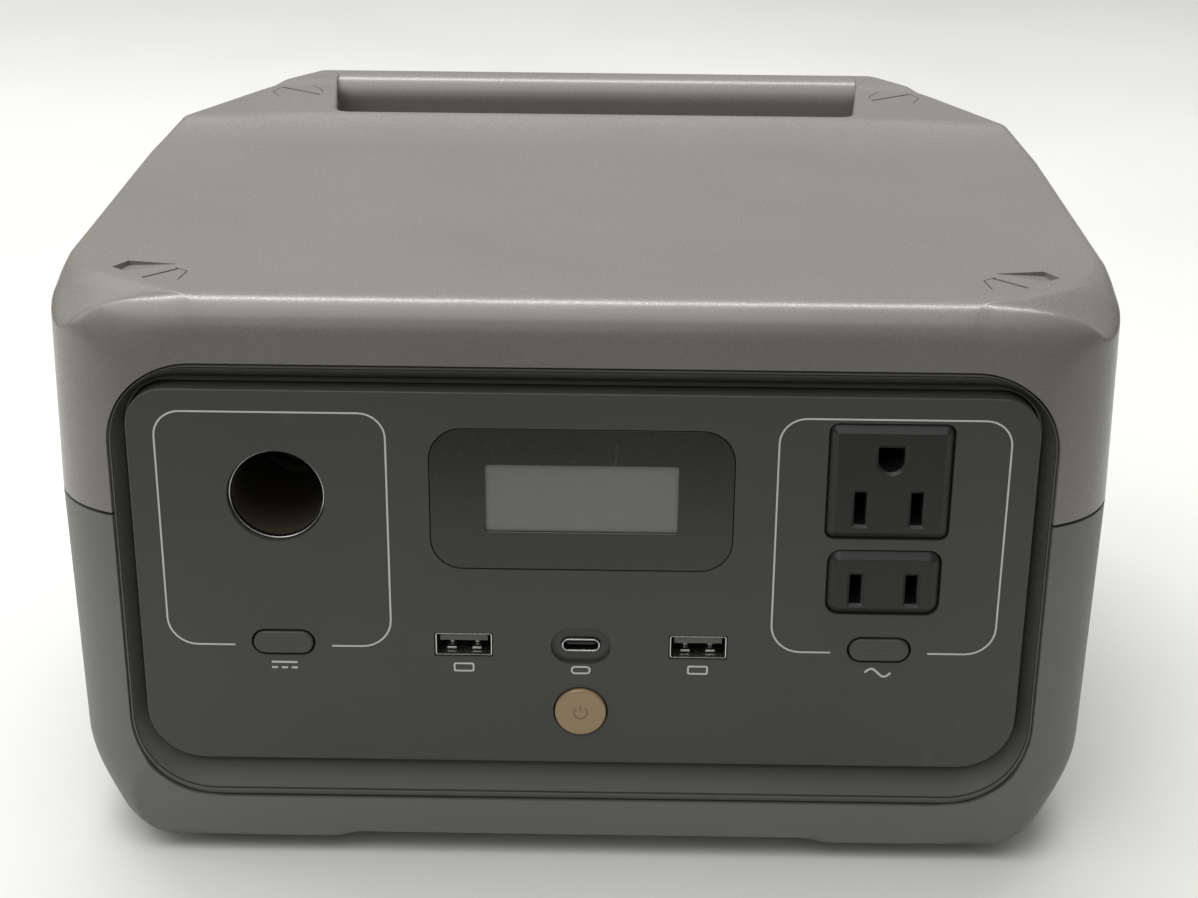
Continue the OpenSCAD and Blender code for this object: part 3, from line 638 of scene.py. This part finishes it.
def build_lower_casing():
    piece = shell_skin("lower_casing", lower_half)
    thicken(piece)
    rear_low, rear_high = box_mm("rear_panel")
    centre_z = (rear_low.z + rear_high.z) / 2
    window = soft_rect(0, centre_z, rear_high.x - rear_low.x - 6, rear_high.z - rear_low.z - 6, 6)(0)
    combine(piece, [prism("window", window, "y", REAR - WALL - 3, REAR + 2)])
    combine(piece, vent_cutters(1) + vent_cutters(-1))
    shade(piece, 36)
    even_normals(piece)
    return piece


# ---- Front bezel and panel ----

def build_bezel():
    """A ring that slopes in from the shells' opening to the foot of the panel."""
    height = OPEN_HIGH - OPEN_LOW
    outer = soft_rect(0, OPEN_LOW + height / 2, 2 * OPEN_HALF, height, OPEN_R, steps=16)(-0.4)
    inner = panel_outline(0.3, steps=16)
    rim = [(0, 8), (0, 1.1), (0.012, 0.7), (0.045, 0.5), (0.125, 0.5), (0.14, 0.62)]
    crease = [(0.15, 0.95), (0.175, 0.95), (0.185, 0.6), (0.2, 0.5), (0.215, 0.55)]
    slope = [(0.24, 0.8), (0.7, 2.9), (0.75, 3.4), (0.8, 4), (1, 4), (1, 8)]
    loops = []
    for share, depth in rim + crease + slope:
        ring = [lerp(a, b, share) for a, b in zip(outer, inner)]
        loops.append([(p.x, FRONT + depth + corner_draw(p.x), p.y) for p in ring])
    return loft("bezel_ring", loops, closed_profile=True)


def corner_draw(x):
    """How far the bezel's ends follow the rounded front corners of the shells backwards."""
    past_corner = max(0, abs(x) - HALF + CORNER_R)
    return CORNER_R - math.sqrt(CORNER_R ** 2 - past_corner ** 2)


def panel_outline(grow=0, steps=8):
    x = PANEL_HIGH.x + grow
    low, high = PANEL_LOW.z - grow, PANEL_HIGH.z + grow
    low_r, high_r = 13 + grow, 9 + grow
    return rounded([(-x, low, low_r), (x, low, low_r), (x, high, high_r), (-x, high, high_r)], steps=steps)


USB_C = middle_mm("usb_c_shell")
USB_LEFT = middle_mm("usb_a_left_shell")
USB_RIGHT = middle_mm("usb_a_right_shell")
SOCKET = middle_mm("car_socket_barrel")
POWER = middle_mm("power_button")
DC_BUTTON = middle_mm("dc_button")
AC_BUTTON = middle_mm("ac_button")
WINDOW = middle_mm("display_window")
SCREEN_Z = WINDOW.z + 0.3
OUTLET_3 = middle_mm("three_pin_outlet")
OUTLET_2 = middle_mm("two_pin_outlet")
POWER_R = 6.02
SOCKET_HOLE_R = 11.05


def build_panel():
    holes = [
        circle(SOCKET.x, SOCKET.z, SOCKET_HOLE_R),
        circle(POWER.x, POWER.z, POWER_R + 0.3),
        soft_rect(0, WINDOW.z, 68.6, 34.6, 7.5),
        soft_rect(OUTLET_3.x, OUTLET_3.z, 28, 28.1, 2.1),
        soft_rect(OUTLET_2.x, OUTLET_2.z, 26, 16.3, 3.1),
        soft_rect(USB_LEFT.x, USB_LEFT.z, 13.5, 6.1, 0.4),
        soft_rect(USB_RIGHT.x, USB_RIGHT.z, 13.5, 6.1, 0.4),
        pill(DC_BUTTON.x, DC_BUTTON.z, 14.7, 6.5),
        pill(AC_BUTTON.x, AC_BUTTON.z, 14.7, 6.5),
        pill(USB_C.x, USB_C.z, 13.8, 9.1),
    ]
    face = plate("panel_face", panel_outline, PANEL_FACE, FRONT + 7.6, soft_edge(0.35, 3), holes,
                 soft_edge(0.22, 2))
    recess = plate("recess", pill(USB_C.x, USB_C.z, 13.9, 9.2), PANEL_FACE + 1.3, PANEL_FACE + 2.5,
                   [(0, 0)], [pill(USB_C.x, USB_C.z, 9.1, 3.42)])
    piece = join("front_panel_face", [face, recess])
    even_normals(piece)
    return piece


def build_display():
    outline = soft_rect(0, WINDOW.z, 68.3, 34.3, 7.4)
    opening = soft_rect(0, SCREEN_Z, 43.3, 16.4, 0.5)
    glass = plate("display_frame", outline, PANEL_FACE + 0.15, PANEL_FACE + 1.6, soft_edge(0.25, 2),
                  [opening], [(0.12, 0), (0, 0.12)])
    even_normals(glass)
    screen = plate("display_screen", soft_rect(0, SCREEN_Z, 50, 23, 0.5), PANEL_FACE + 0.75, PANEL_FACE + 2.6,
                   [(0, 0)])
    return glass, screen


def build_markings():
    """Painted frames around the two groups of ports, and small generic signs under the ports."""
    y = PANEL_FACE - 0.03
    lines = []
    for side in (-1, 1):
        button = AC_BUTTON if side > 0 else DC_BUTTON
        low, high = button.z - 0.8, WINDOW.z + 20.6
        near, far = side * 43.8, side * 95.3
        path = rounded([(button.x - side * 11.2, low, 0), (near, low, 6.8), (near, high, 6), (far, high, 6),
                        (far, low, 6.8), (button.x + side * 11.2, low, 0)], closed=False)
        lines.append(ribbon("frame", path, 0.4, y))
    sign_z = DC_BUTTON.z - 5.9
    dc = DC_BUTTON.x
    lines.append(level_line("dc_solid", dc, sign_z + 0.7, 3, 0.5, y))
    for k in (-1, 0, 1):
        lines.append(level_line("dc_dash", dc + 2.3 * k, sign_z - 0.7, 0.7, 0.5, y))
    turns = [2 * math.pi * k / 24 for k in range(25)]
    wave = [Vector((AC_BUTTON.x - 3 + 3 * turn / math.pi, sign_z + math.sin(turn))) for turn in turns]
    lines.append(ribbon("ac_wave", wave, 0.5, y))
    for spot in (USB_LEFT, USB_RIGHT):
        ring = soft_rect(spot.x, spot.z - 5.8, 4.4, 1.9, 0.3)(0)
        lines.append(ribbon("usb_sign", ring + ring[:1], 0.4, y))
    ring = pill(USB_C.x, USB_C.z - 6.2, 4.2, 1.7)(0)
    lines.append(ribbon("usb_sign", ring + ring[:1], 0.4, y))
    return join("panel_markings", lines)


# ---- Ports ----

def build_socket():
    """The dark bore of the 12 V socket, and the bright rolled lip around its mouth."""
    x, z, y = SOCKET.x, SOCKET.z, PANEL_FACE
    bore = [(5.6, y + 43.4), (9.2, y + 43), (9.4, y + 39.4), (10.45, y + 38.5), (10.45, y + 2.6)]
    lining = turned("socket_lining", x, z, bore + [(10.98, y + 2.6), (10.98, y + 44)])
    roll = [(10.97, y + 2.6), (10.95, y + 1.5), (10.86, y + 1.25), (10.7, y + 1.2), (10.55, y + 1.3),
            (10.46, y + 1.6), (10.44, y + 2.6)]
    lip = turned("socket_lip", x, z, roll, ring=True)
    return lining, lip


OUTLET_FRONT = box_mm("three_pin_outlet")[0].y
OUTLET_BACK = box_mm("three_pin_outlet")[1].y
BLADE_Z = {3: 93.5, 2: 73.4}
BLADE_PITCH = 12.7
GROUND_RISE = 11.9
CHAMFER = [(2.0, 0), (1.9, 0.02), (0.12, 1.4), (0, 1.6)]


def build_outlet(name, centre, size, radius, pins, blade_h):
    """A block with a chamfer all round, blade slots and, with three pins, a ground hole."""
    w, h = size.x, size.z
    blades = [centre.x - BLADE_PITCH / 2, centre.x + BLADE_PITCH / 2]
    holes = [soft_rect(x, BLADE_Z[pins], 2.6, blade_h, 0.12, steps=2) for x in blades]
    if pins == 3:
        holes.append(ground_hole(centre.x, BLADE_Z[3] + GROUND_RISE))
    pocket_floor = OUTLET_BACK - 2
    outline = soft_rect(centre.x, centre.z, w, h, radius)
    block = plate(name + "_block", outline, OUTLET_FRONT, pocket_floor, CHAMFER, holes,
                  [(0.75, 0), (0.05, 0.6), (0, 0.8)], sharp=20)
    inside = soft_rect(centre.x, centre.z, w - 0.2, h - 0.2, radius)
    floor = plate("floor", inside, pocket_floor, OUTLET_BACK, [(0, 0)])
    piece = join(name, [block, floor])
    shade(piece, 20)
    even_normals(piece)
    return piece


def ground_hole(x, z):
    """Round at the bottom and square at the top."""
    def outline(grow=0):
        r = 2.9 + grow
        low_r, high_r = r * 0.99, 0.3
        return rounded([(x - r, z - r, low_r), (x + r, z - r, low_r),
                        (x + r, z + r, high_r), (x - r, z + r, high_r)])
    return outline


def build_usb_a(name, centre):
    """Metal mouth, contact tongue in its upper half and two springs in its floor."""
    x, z = centre.x, centre.z
    mouth = plate(name + "_mouth", soft_rect(x, z, 13.1, 5.72, 0.5), PANEL_FACE + 0.35, PANEL_FACE + 13,
                  soft_edge(0.12, 2), [soft_rect(x, z, 12.5, 5.12, 0.25)], soft_edge(0.12, 2))
    tongue = plate(name + "_tongue", soft_rect(x, z + 1.45, 11.1, 1.84, 0.15), PANEL_FACE + 1.3,
                   PANEL_FACE + 11, soft_edge(0.15, 2))
    springs = []
    for side in (-1, 1):
        springs.append(plate("spring", soft_rect(x + side * 2.9, z - 1.9, 2.3, 0.55, 0.2), PANEL_FACE + 2.2,
                             PANEL_FACE + 8, soft_edge(0.2, 3)))
        springs.append(plate("spring", soft_rect(x + side * 2.9, z - 1.2, 1.1, 0.8, 0.3), PANEL_FACE + 4,
                             PANEL_FACE + 6, soft_edge(0.25, 3)))
    floor = plate("floor", soft_rect(x, z, 12.6, 5.2, 0.2), PANEL_FACE + 12, PANEL_FACE + 12.8, [(0, 0)])
    return join(name + "_mouth", [mouth] + springs), join(name + "_tongue", [tongue, floor])


def build_usb_c():
    x, z = USB_C.x, USB_C.z
    ring = plate("usb_c_ring", pill(x, z, 8.94, 3.26), PANEL_FACE + 0.5, PANEL_FACE + 9, soft_edge(0.2, 3),
                 [pill(x, z, 8.1, 2.44)], soft_edge(0.18, 3))
    tongue = plate("usb_c_inside", soft_rect(x, z, 6.7, 0.7, 0.15), PANEL_FACE + 1.6, PANEL_FACE + 9,
                   soft_edge(0.1, 1))
    floor = plate("floor", pill(x, z, 8.3, 2.6), PANEL_FACE + 8, PANEL_FACE + 9, [(0, 0)])
    return ring, join("usb_c_inside", [tongue, floor])


# ---- Buttons ----

def build_power_button():
    x, z = POWER.x, POWER.z
    front = box_mm("power_button")[0].y
    face, deep, line_width = front + 0.02, 3.6, 0.42
    cap = plate("power_cap", circle(x, z, POWER_R, 96), face, face + deep, soft_edge(0.55, 4))
    even_normals(cap)
    gap = math.radians(38)
    arc = [lerp(gap, 2 * math.pi - gap, k / 28) for k in range(29)]
    ring = [Vector((x + 1.55 * math.sin(a), z + 1.55 * math.cos(a))) for a in arc]
    bar = [Vector((x, z + 0.4)), Vector((x, z + 2))]
    sign = join("power_sign", [ribbon("line", path, line_width, front, 0.05) for path in (ring, bar)])
    return cap, sign


def build_pill_button(name, centre, node):
    y = box_mm(node)[0].y
    width, height, deep = 13.8, 5.6, 3.4
    cap = plate(name, pill(centre.x, centre.z, width, height), y, y + deep, soft_edge(0.6, 4))
    line = level_line("line", centre.x, centre.z, 4.6, 0.3, y - 0.04, 0.2)
    piece = join(name, [cap, line])
    even_normals(piece)
    return piece


# ---- Materials ----

class Paint:
    """A material whose colour, roughness and relief come from noise in the object's own coordinates."""

    def __init__(self, name):
        self.material = bpy.data.materials.new(name)
        self.material.use_nodes = True
        self.tree = self.material.node_tree
        self.shader = self.tree.nodes["Principled BSDF"]
        self.place = self.add("ShaderNodeTexCoord").outputs["Object"]

    def add(self, kind, **inputs):
        node = self.tree.nodes.new(kind)
        for name, value in inputs.items():
            self.put(node.inputs[name.replace("_", " ")], value)
        return node

    def put(self, socket, value):
        if isinstance(value, bpy.types.NodeSocket):
            self.tree.links.new(value, socket)
        else:
            socket.default_value = value

    def set(self, **inputs):
        for name, value in inputs.items():
            self.put(self.shader.inputs[name.replace("_", " ")], value)

    def noise(self, size_mm, detail=2.0, distortion=0.0, stretch=None):
        where = self.place
        if stretch:
            where = self.add("ShaderNodeMapping", Vector=self.place, Scale=stretch).outputs[0]
        return self.add("ShaderNodeTexNoise", Vector=where, Scale=1000 / size_mm, Detail=detail,
                        Distortion=distortion).outputs["Fac"]

    def between(self, fac, low, high, low_at=0.3, high_at=0.7):
        """Colours or numbers from low to high as fac goes from low_at to high_at."""
        ramp = self.add("ShaderNodeValToRGB", Fac=fac)
        first, second = ramp.color_ramp.elements
        first.position, second.position = low_at, high_at
        first.color, second.color = as_colour(low), as_colour(high)
        return ramp.outputs["Color"]

    def mix(self, fac, a, b, blend="MIX"):
        node = self.tree.nodes.new("ShaderNodeMix")
        node.data_type = "RGBA"
        node.blend_type = blend
        self.put(node.inputs[0], fac)
        self.put(node.inputs[6], a)
        self.put(node.inputs[7], b)
        return node.outputs[2]

    def bump(self, height, depth_mm, strength=1.0, under=None):
        node = self.add("ShaderNodeBump", Height=height, Distance=depth_mm * MM, Strength=strength)
        if under:
            self.put(node.inputs["Normal"], under)
        return node.outputs["Normal"]


def as_colour(value):
    if isinstance(value, str):
        return tuple(to_linear(int(value[k:k + 2], 16) / 255) for k in (0, 2, 4)) + (1,)
    return (value, value, value, 1)


def to_linear(c):
    return c / 12.92 if c <= 0.04045 else ((c + 0.055) / 1.055) ** 2.4


def moulded(name, colour, patch, rough, grain_mm=0.45, relief=0.02, sparkle=0.12, metal=0.0, scuff=0.05):
    """Moulded or cast surface: patchy colour, fine grain, uneven gloss and faint scuffs."""
    paint = Paint(name)
    broad = paint.noise(38, 3)
    fine = paint.noise(grain_mm, 2)
    base = paint.between(broad, colour, patch, 0.35, 0.68)
    flecks = paint.between(fine, 0.91, 1.08, 0.25, 0.75)
    coloured = paint.mix(0.55, base, flecks, "MULTIPLY")
    marks = paint.noise(9, 6, 1.4, (1, 1, 0.35))
    worn = paint.between(marks, 0.0, 1.0, 0.68, 0.92)
    lighter = paint.mix(scuff, coloured, as_colour(0.5))
    paint.set(Base_Color=paint.mix(worn, coloured, lighter))
    gloss = paint.between(fine, rough - sparkle, rough + sparkle, 0.3, 0.7)
    paint.set(Roughness=paint.mix(worn, gloss, as_colour(min(rough + 0.12, 1))))
    paint.set(Normal=paint.bump(fine, relief), Metallic=metal)
    return paint.material


def dress(piece, material):
    """Puts one material over the whole of a piece or a CAD node."""
    if not piece.material_slots:
        piece.data.materials.append(None)
    for slot in piece.material_slots:
        slot.link = "OBJECT"
        slot.material = material


SHELL_LIGHT = moulded("shell_light", "706d68", "73706b", 0.3, 0.5, 0.012, 0.08)
SHELL_DARK = moulded("shell_dark", "60605b", "63635e", 0.5, 0.5, 0.016, 0.1)
BEZEL = moulded("bezel", "4b4b47", "4e4e4a", 0.5, 0.4, 0.012, 0.06)
PANEL = moulded("panel", "3a3a35", "3c3c37", 0.5, 0.35, 0.012, 0.05)
DISPLAY_FRAME = moulded("display_frame", "242521", "262723", 0.25, 0.6, 0.002, 0.03)
SCREEN = moulded("screen", "6d6f68", "6f716a", 0.35, 1.5, 0.001, 0.03)
WHITE_PAINT = moulded("white_paint", "bcbfb9", "c4c7c1", 0.6, 0.3, 0.004, 0.05)
GOLD = moulded("gold_button", "917c60", "968165", 0.36, 0.25, 0.008, 0.06, metal=0.3)
GOLD_SIGN = moulded("gold_sign", "75634c", "7a6850", 0.4, 0.25, 0.006, 0.05, metal=0.3)
BUTTON = moulded("button_dark", "3e3e39", "40403b", 0.5, 0.35, 0.01, 0.05)
OUTLET = moulded("outlet", "151615", "181918", 0.45, 0.5, 0.008, 0.05)
BLACK = moulded("black_plastic", "1f1f1e", "222221", 0.5, 0.4, 0.01, 0.06)
GREY_TONGUE = moulded("grey_tongue", "55554f", "5b5b55", 0.5, 0.4, 0.006, 0.05)
STEEL = moulded("steel", "b9b9b5", "c2c2be", 0.26, 0.3, 0.004, 0.06, metal=1.0)
SOCKET_LINING = moulded("socket_lining", "3d3a2e", "444133", 0.45, 1.2, 0.003, 0.05)
BRASS = moulded("brass", "b8923f", "bf9a48", 0.3, 0.4, 0.004, 0.06, metal=1.0)
RUBBER = moulded("rubber", "1b1b1a", "1f1f1e", 0.8, 0.4, 0.02, 0.06)
BOARD = moulded("board", "1c4a30", "20523a", 0.4, 1.1, 0.01, 0.08)
CELL = moulded("cell_sleeve", "315f93", "36669b", 0.32, 0.6, 0.004, 0.05)
CORE = moulded("ferrite", "333336", "38383b", 0.6, 0.4, 0.02, 0.08)
COPPER = moulded("copper", "a85a26", "b2642e", 0.35, 0.5, 0.01, 0.08, metal=0.9)
WINDING = moulded("winding_tape", "c19a2f", "c8a236", 0.4, 0.9, 0.01, 0.05)
CAN = moulded("capacitor", "1f2a36", "24303d", 0.35, 0.6, 0.004, 0.05)
ALUMINIUM = moulded("aluminium", "a9abad", "b0b2b4", 0.36, 0.4, 0.006, 0.08, metal=1.0)
YELLOW = moulded("yellow_plastic", "b8921f", "c09a26", 0.4, 0.4, 0.008, 0.05)
RED_WIRE = moulded("red_wire", "8f1f18", "98251e", 0.45, 0.6, 0.006, 0.05)
BLACK_WIRE = moulded("black_wire", "1a1a19", "1e1e1d", 0.45, 0.6, 0.006, 0.05)
WHITE_TRAY = moulded("white_tray", "d2d2cc", "d8d8d2", 0.5, 0.5, 0.006, 0.05)


# ---- Assembly ----

def add(piece, material, body, slot, *nodes):
    dress(piece, material)
    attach(piece, body)
    if nodes:
        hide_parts(*nodes)


add(build_top_casing(), SHELL_LIGHT, "casing", "shell_light", "top_shell")
add(build_lower_casing(), SHELL_DARK, "casing", "shell_dark", "lower_shell")
add(build_bezel(), BEZEL, "casing", "bezel_plastic", "front_bezel")
add(build_panel(), PANEL, "casing", "panel_plastic", "front_panel")
display_frame, display_screen = build_display()
add(display_frame, DISPLAY_FRAME, "casing", "display_cover", "display_window")
add(display_screen, SCREEN, "casing", "display_lcd", "lcd_panel")
add(build_markings(), WHITE_PAINT, "casing", "white_plastic")
socket_lining, socket_lip = build_socket()
add(socket_lining, SOCKET_LINING, "casing", "port_steel", "car_socket_barrel")
add(socket_lip, STEEL, "casing", "port_steel")
three_pin = build_outlet("outlet_three_pin", OUTLET_3, size_mm("three_pin_outlet"), 2, 3, 7.8)
add(three_pin, OUTLET, "casing", "outlet_plastic", "three_pin_outlet")
two_pin = build_outlet("outlet_two_pin", OUTLET_2, size_mm("two_pin_outlet"), 3, 2, 7.1)
add(two_pin, OUTLET, "casing", "outlet_plastic", "two_pin_outlet")
for side, centre in (("left", USB_LEFT), ("right", USB_RIGHT)):
    mouth, tongue = build_usb_a("usb_a_" + side, centre)
    add(mouth, STEEL, "casing", "port_steel", f"usb_a_{side}_shell")
    add(tongue, GREY_TONGUE, "casing", "black_plastic", f"usb_a_{side}_tongue")
usb_c_ring, usb_c_inside = build_usb_c()
add(usb_c_ring, STEEL, "casing", "port_steel", "usb_c_shell")
add(usb_c_inside, BLACK, "casing", "black_plastic", "usb_c_tongue")
power_cap, power_sign = build_power_button()
add(power_cap, GOLD, "power_button", "button_gold", "power_button")
add(power_sign, GOLD_SIGN, "power_button", "button_gold")
for node, centre in (("dc_button", DC_BUTTON), ("ac_button", AC_BUTTON)):
    add(build_pill_button(node + "_cap", centre, node), BUTTON, node, "button_dark", node)

KEPT_NODES = {
    "seam_gasket": RUBBER, "backlight_tray": WHITE_TRAY, "power_plunger": BLACK, "dc_plunger": BLACK,
    "ac_plunger": BLACK, "button_switches": STEEL, "io_board": BOARD, "car_socket_housing": BLACK,
    "car_socket_contact": BRASS, "outlet_contacts": BRASS, "rear_panel": BEZEL, "ac_inlet": BLACK,
    "ac_inlet_pins": STEEL, "dc_inlet": YELLOW, "dc_inlet_pins": BRASS, "left_vent_grille": BLACK,
    "right_vent_grille": BLACK, "intake_fan_frame": BLACK, "intake_fan_rotor": BLACK,
    "exhaust_fan_frame": BLACK, "exhaust_fan_rotor": BLACK, "battery_cells": CELL,
    "lower_cell_holder": BLACK, "upper_cell_holder": BLACK, "bottom_busbars": STEEL, "top_busbars": STEEL,
    "bms_board": BOARD, "electronics_tray": BEZEL, "inverter_board": BOARD, "left_heatsink": ALUMINIUM,
    "right_heatsink": ALUMINIUM, "transformer_core": CORE, "transformer_winding": WINDING,
    "inductors": COPPER, "capacitors": CAN, "battery_leads": RED_WIRE, "outlet_leads": BLACK_WIRE,
    "socket_leads": RED_WIRE, "rubber_feet": RUBBER, "case_screws": STEEL, "panel_screws": STEEL,
    "board_screws": STEEL,
}
for node, material in KEPT_NODES.items():
    dress(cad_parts[node], material)


# ---- Floor, light and camera ----

def build_floor():
    """A table top that rises into a backdrop far behind the station."""
    near, far, half, rise = -0.32, 3.2, 2.5, 1.6
    profile = [(near, -0.05), (near, 0), (far, 0)]
    for k in range(1, 9):
        a = math.pi / 2 * k / 8
        profile.append((far + rise * math.sin(a), rise * (1 - math.cos(a))))
    points = [(x / MM, y / MM, z / MM) for y, z in profile for x in (-half, half)]
    return make_object("studio_floor", points, grid_faces(len(profile), 2))


def floor_paint():
    paint = Paint("floor_paint")
    broad = paint.noise(260, 3)
    paint.set(Base_Color=paint.between(broad, "d4d5cf", "d9dad4", 0.3, 0.7))
    paint.set(Roughness=paint.between(broad, 0.42, 0.5))
    return paint.material


def add_light(name, place, target, size_x, size_y, power, colour):
    lamp = bpy.data.lights.new(name, "AREA")
    lamp.shape = "RECTANGLE"
    lamp.size, lamp.size_y = size_x, size_y
    lamp.energy = power
    lamp.color = colour
    light = bpy.data.objects.new(name, lamp)
    bpy.context.scene.collection.objects.link(light)
    light.location = place
    light.rotation_euler = (Vector(target) - Vector(place)).to_track_quat("-Z", "Y").to_euler()


def build_world():
    """A room that is brightest overhead and dim towards the horizon."""
    world = bpy.data.worlds.new("studio")
    world.use_nodes = True
    nodes, links = world.node_tree.nodes, world.node_tree.links
    direction = nodes.new("ShaderNodeTexCoord").outputs["Generated"]
    height = nodes.new("ShaderNodeSeparateXYZ")
    links.new(direction, height.inputs[0])
    ramp = nodes.new("ShaderNodeValToRGB")
    links.new(height.outputs["Z"], ramp.inputs["Fac"])
    dim, bright = ramp.color_ramp.elements
    dim.position, bright.position = 0.0, 0.9
    dim.color, bright.color = (0.16, 0.16, 0.155, 1), (0.95, 0.95, 0.93, 1)
    links.new(ramp.outputs["Color"], nodes["Background"].inputs["Color"])
    nodes["Background"].inputs["Strength"].default_value = 0.7
    return world


def add_camera():
    """The camera stands where the photograph was taken: yaw to the right, pitch down and roll in degrees."""
    yaw, pitch, roll = (math.radians(a) for a in (-0.577, 22.63, 0.517))
    lens = bpy.data.cameras.new("camera")
    lens.sensor_width = 36
    lens.lens = 64.26
    lens.clip_start = 0.01
    camera = bpy.data.objects.new("camera", lens)
    bpy.context.scene.collection.objects.link(camera)
    turn = Matrix.Rotation(-yaw, 4, "Z") @ Matrix.Rotation(math.pi / 2 - pitch, 4, "X")
    camera.matrix_world = (Matrix.Translation((0.0082, -0.54499, 0.28991)) @ turn
                           @ Matrix.Rotation(roll, 4, "Z"))
    bpy.context.scene.camera = camera


floor = build_floor()
dress(floor, floor_paint())
# Soft light overhead, a weak fill in front, a strip for the upper edges and a window on the left
add_light("softbox", (-0.4, -0.3, 1.3), (-0.05, -0.25, 0), 2.0, 1.2, 15.5, (1, 0.99, 0.97))
add_light("front_fill", (-0.5, -1.6, 0.9), (0, -0.1, 0.05), 1.4, 0.5, 2.5, (0.98, 0.99, 1))
add_light("tube", (0, 0.4, 1.2), (0, 0, 0.12), 1.3, 0.08, 12, (0.98, 0.99, 1))
add_light("left_window", (-1.5, 0.1, 0.7), (0, 0, 0.1), 0.8, 0.8, 4, (1, 0.99, 0.97))
bpy.context.scene.world = build_world()
bpy.context.scene.view_settings.view_transform = "Standard"
add_camera()
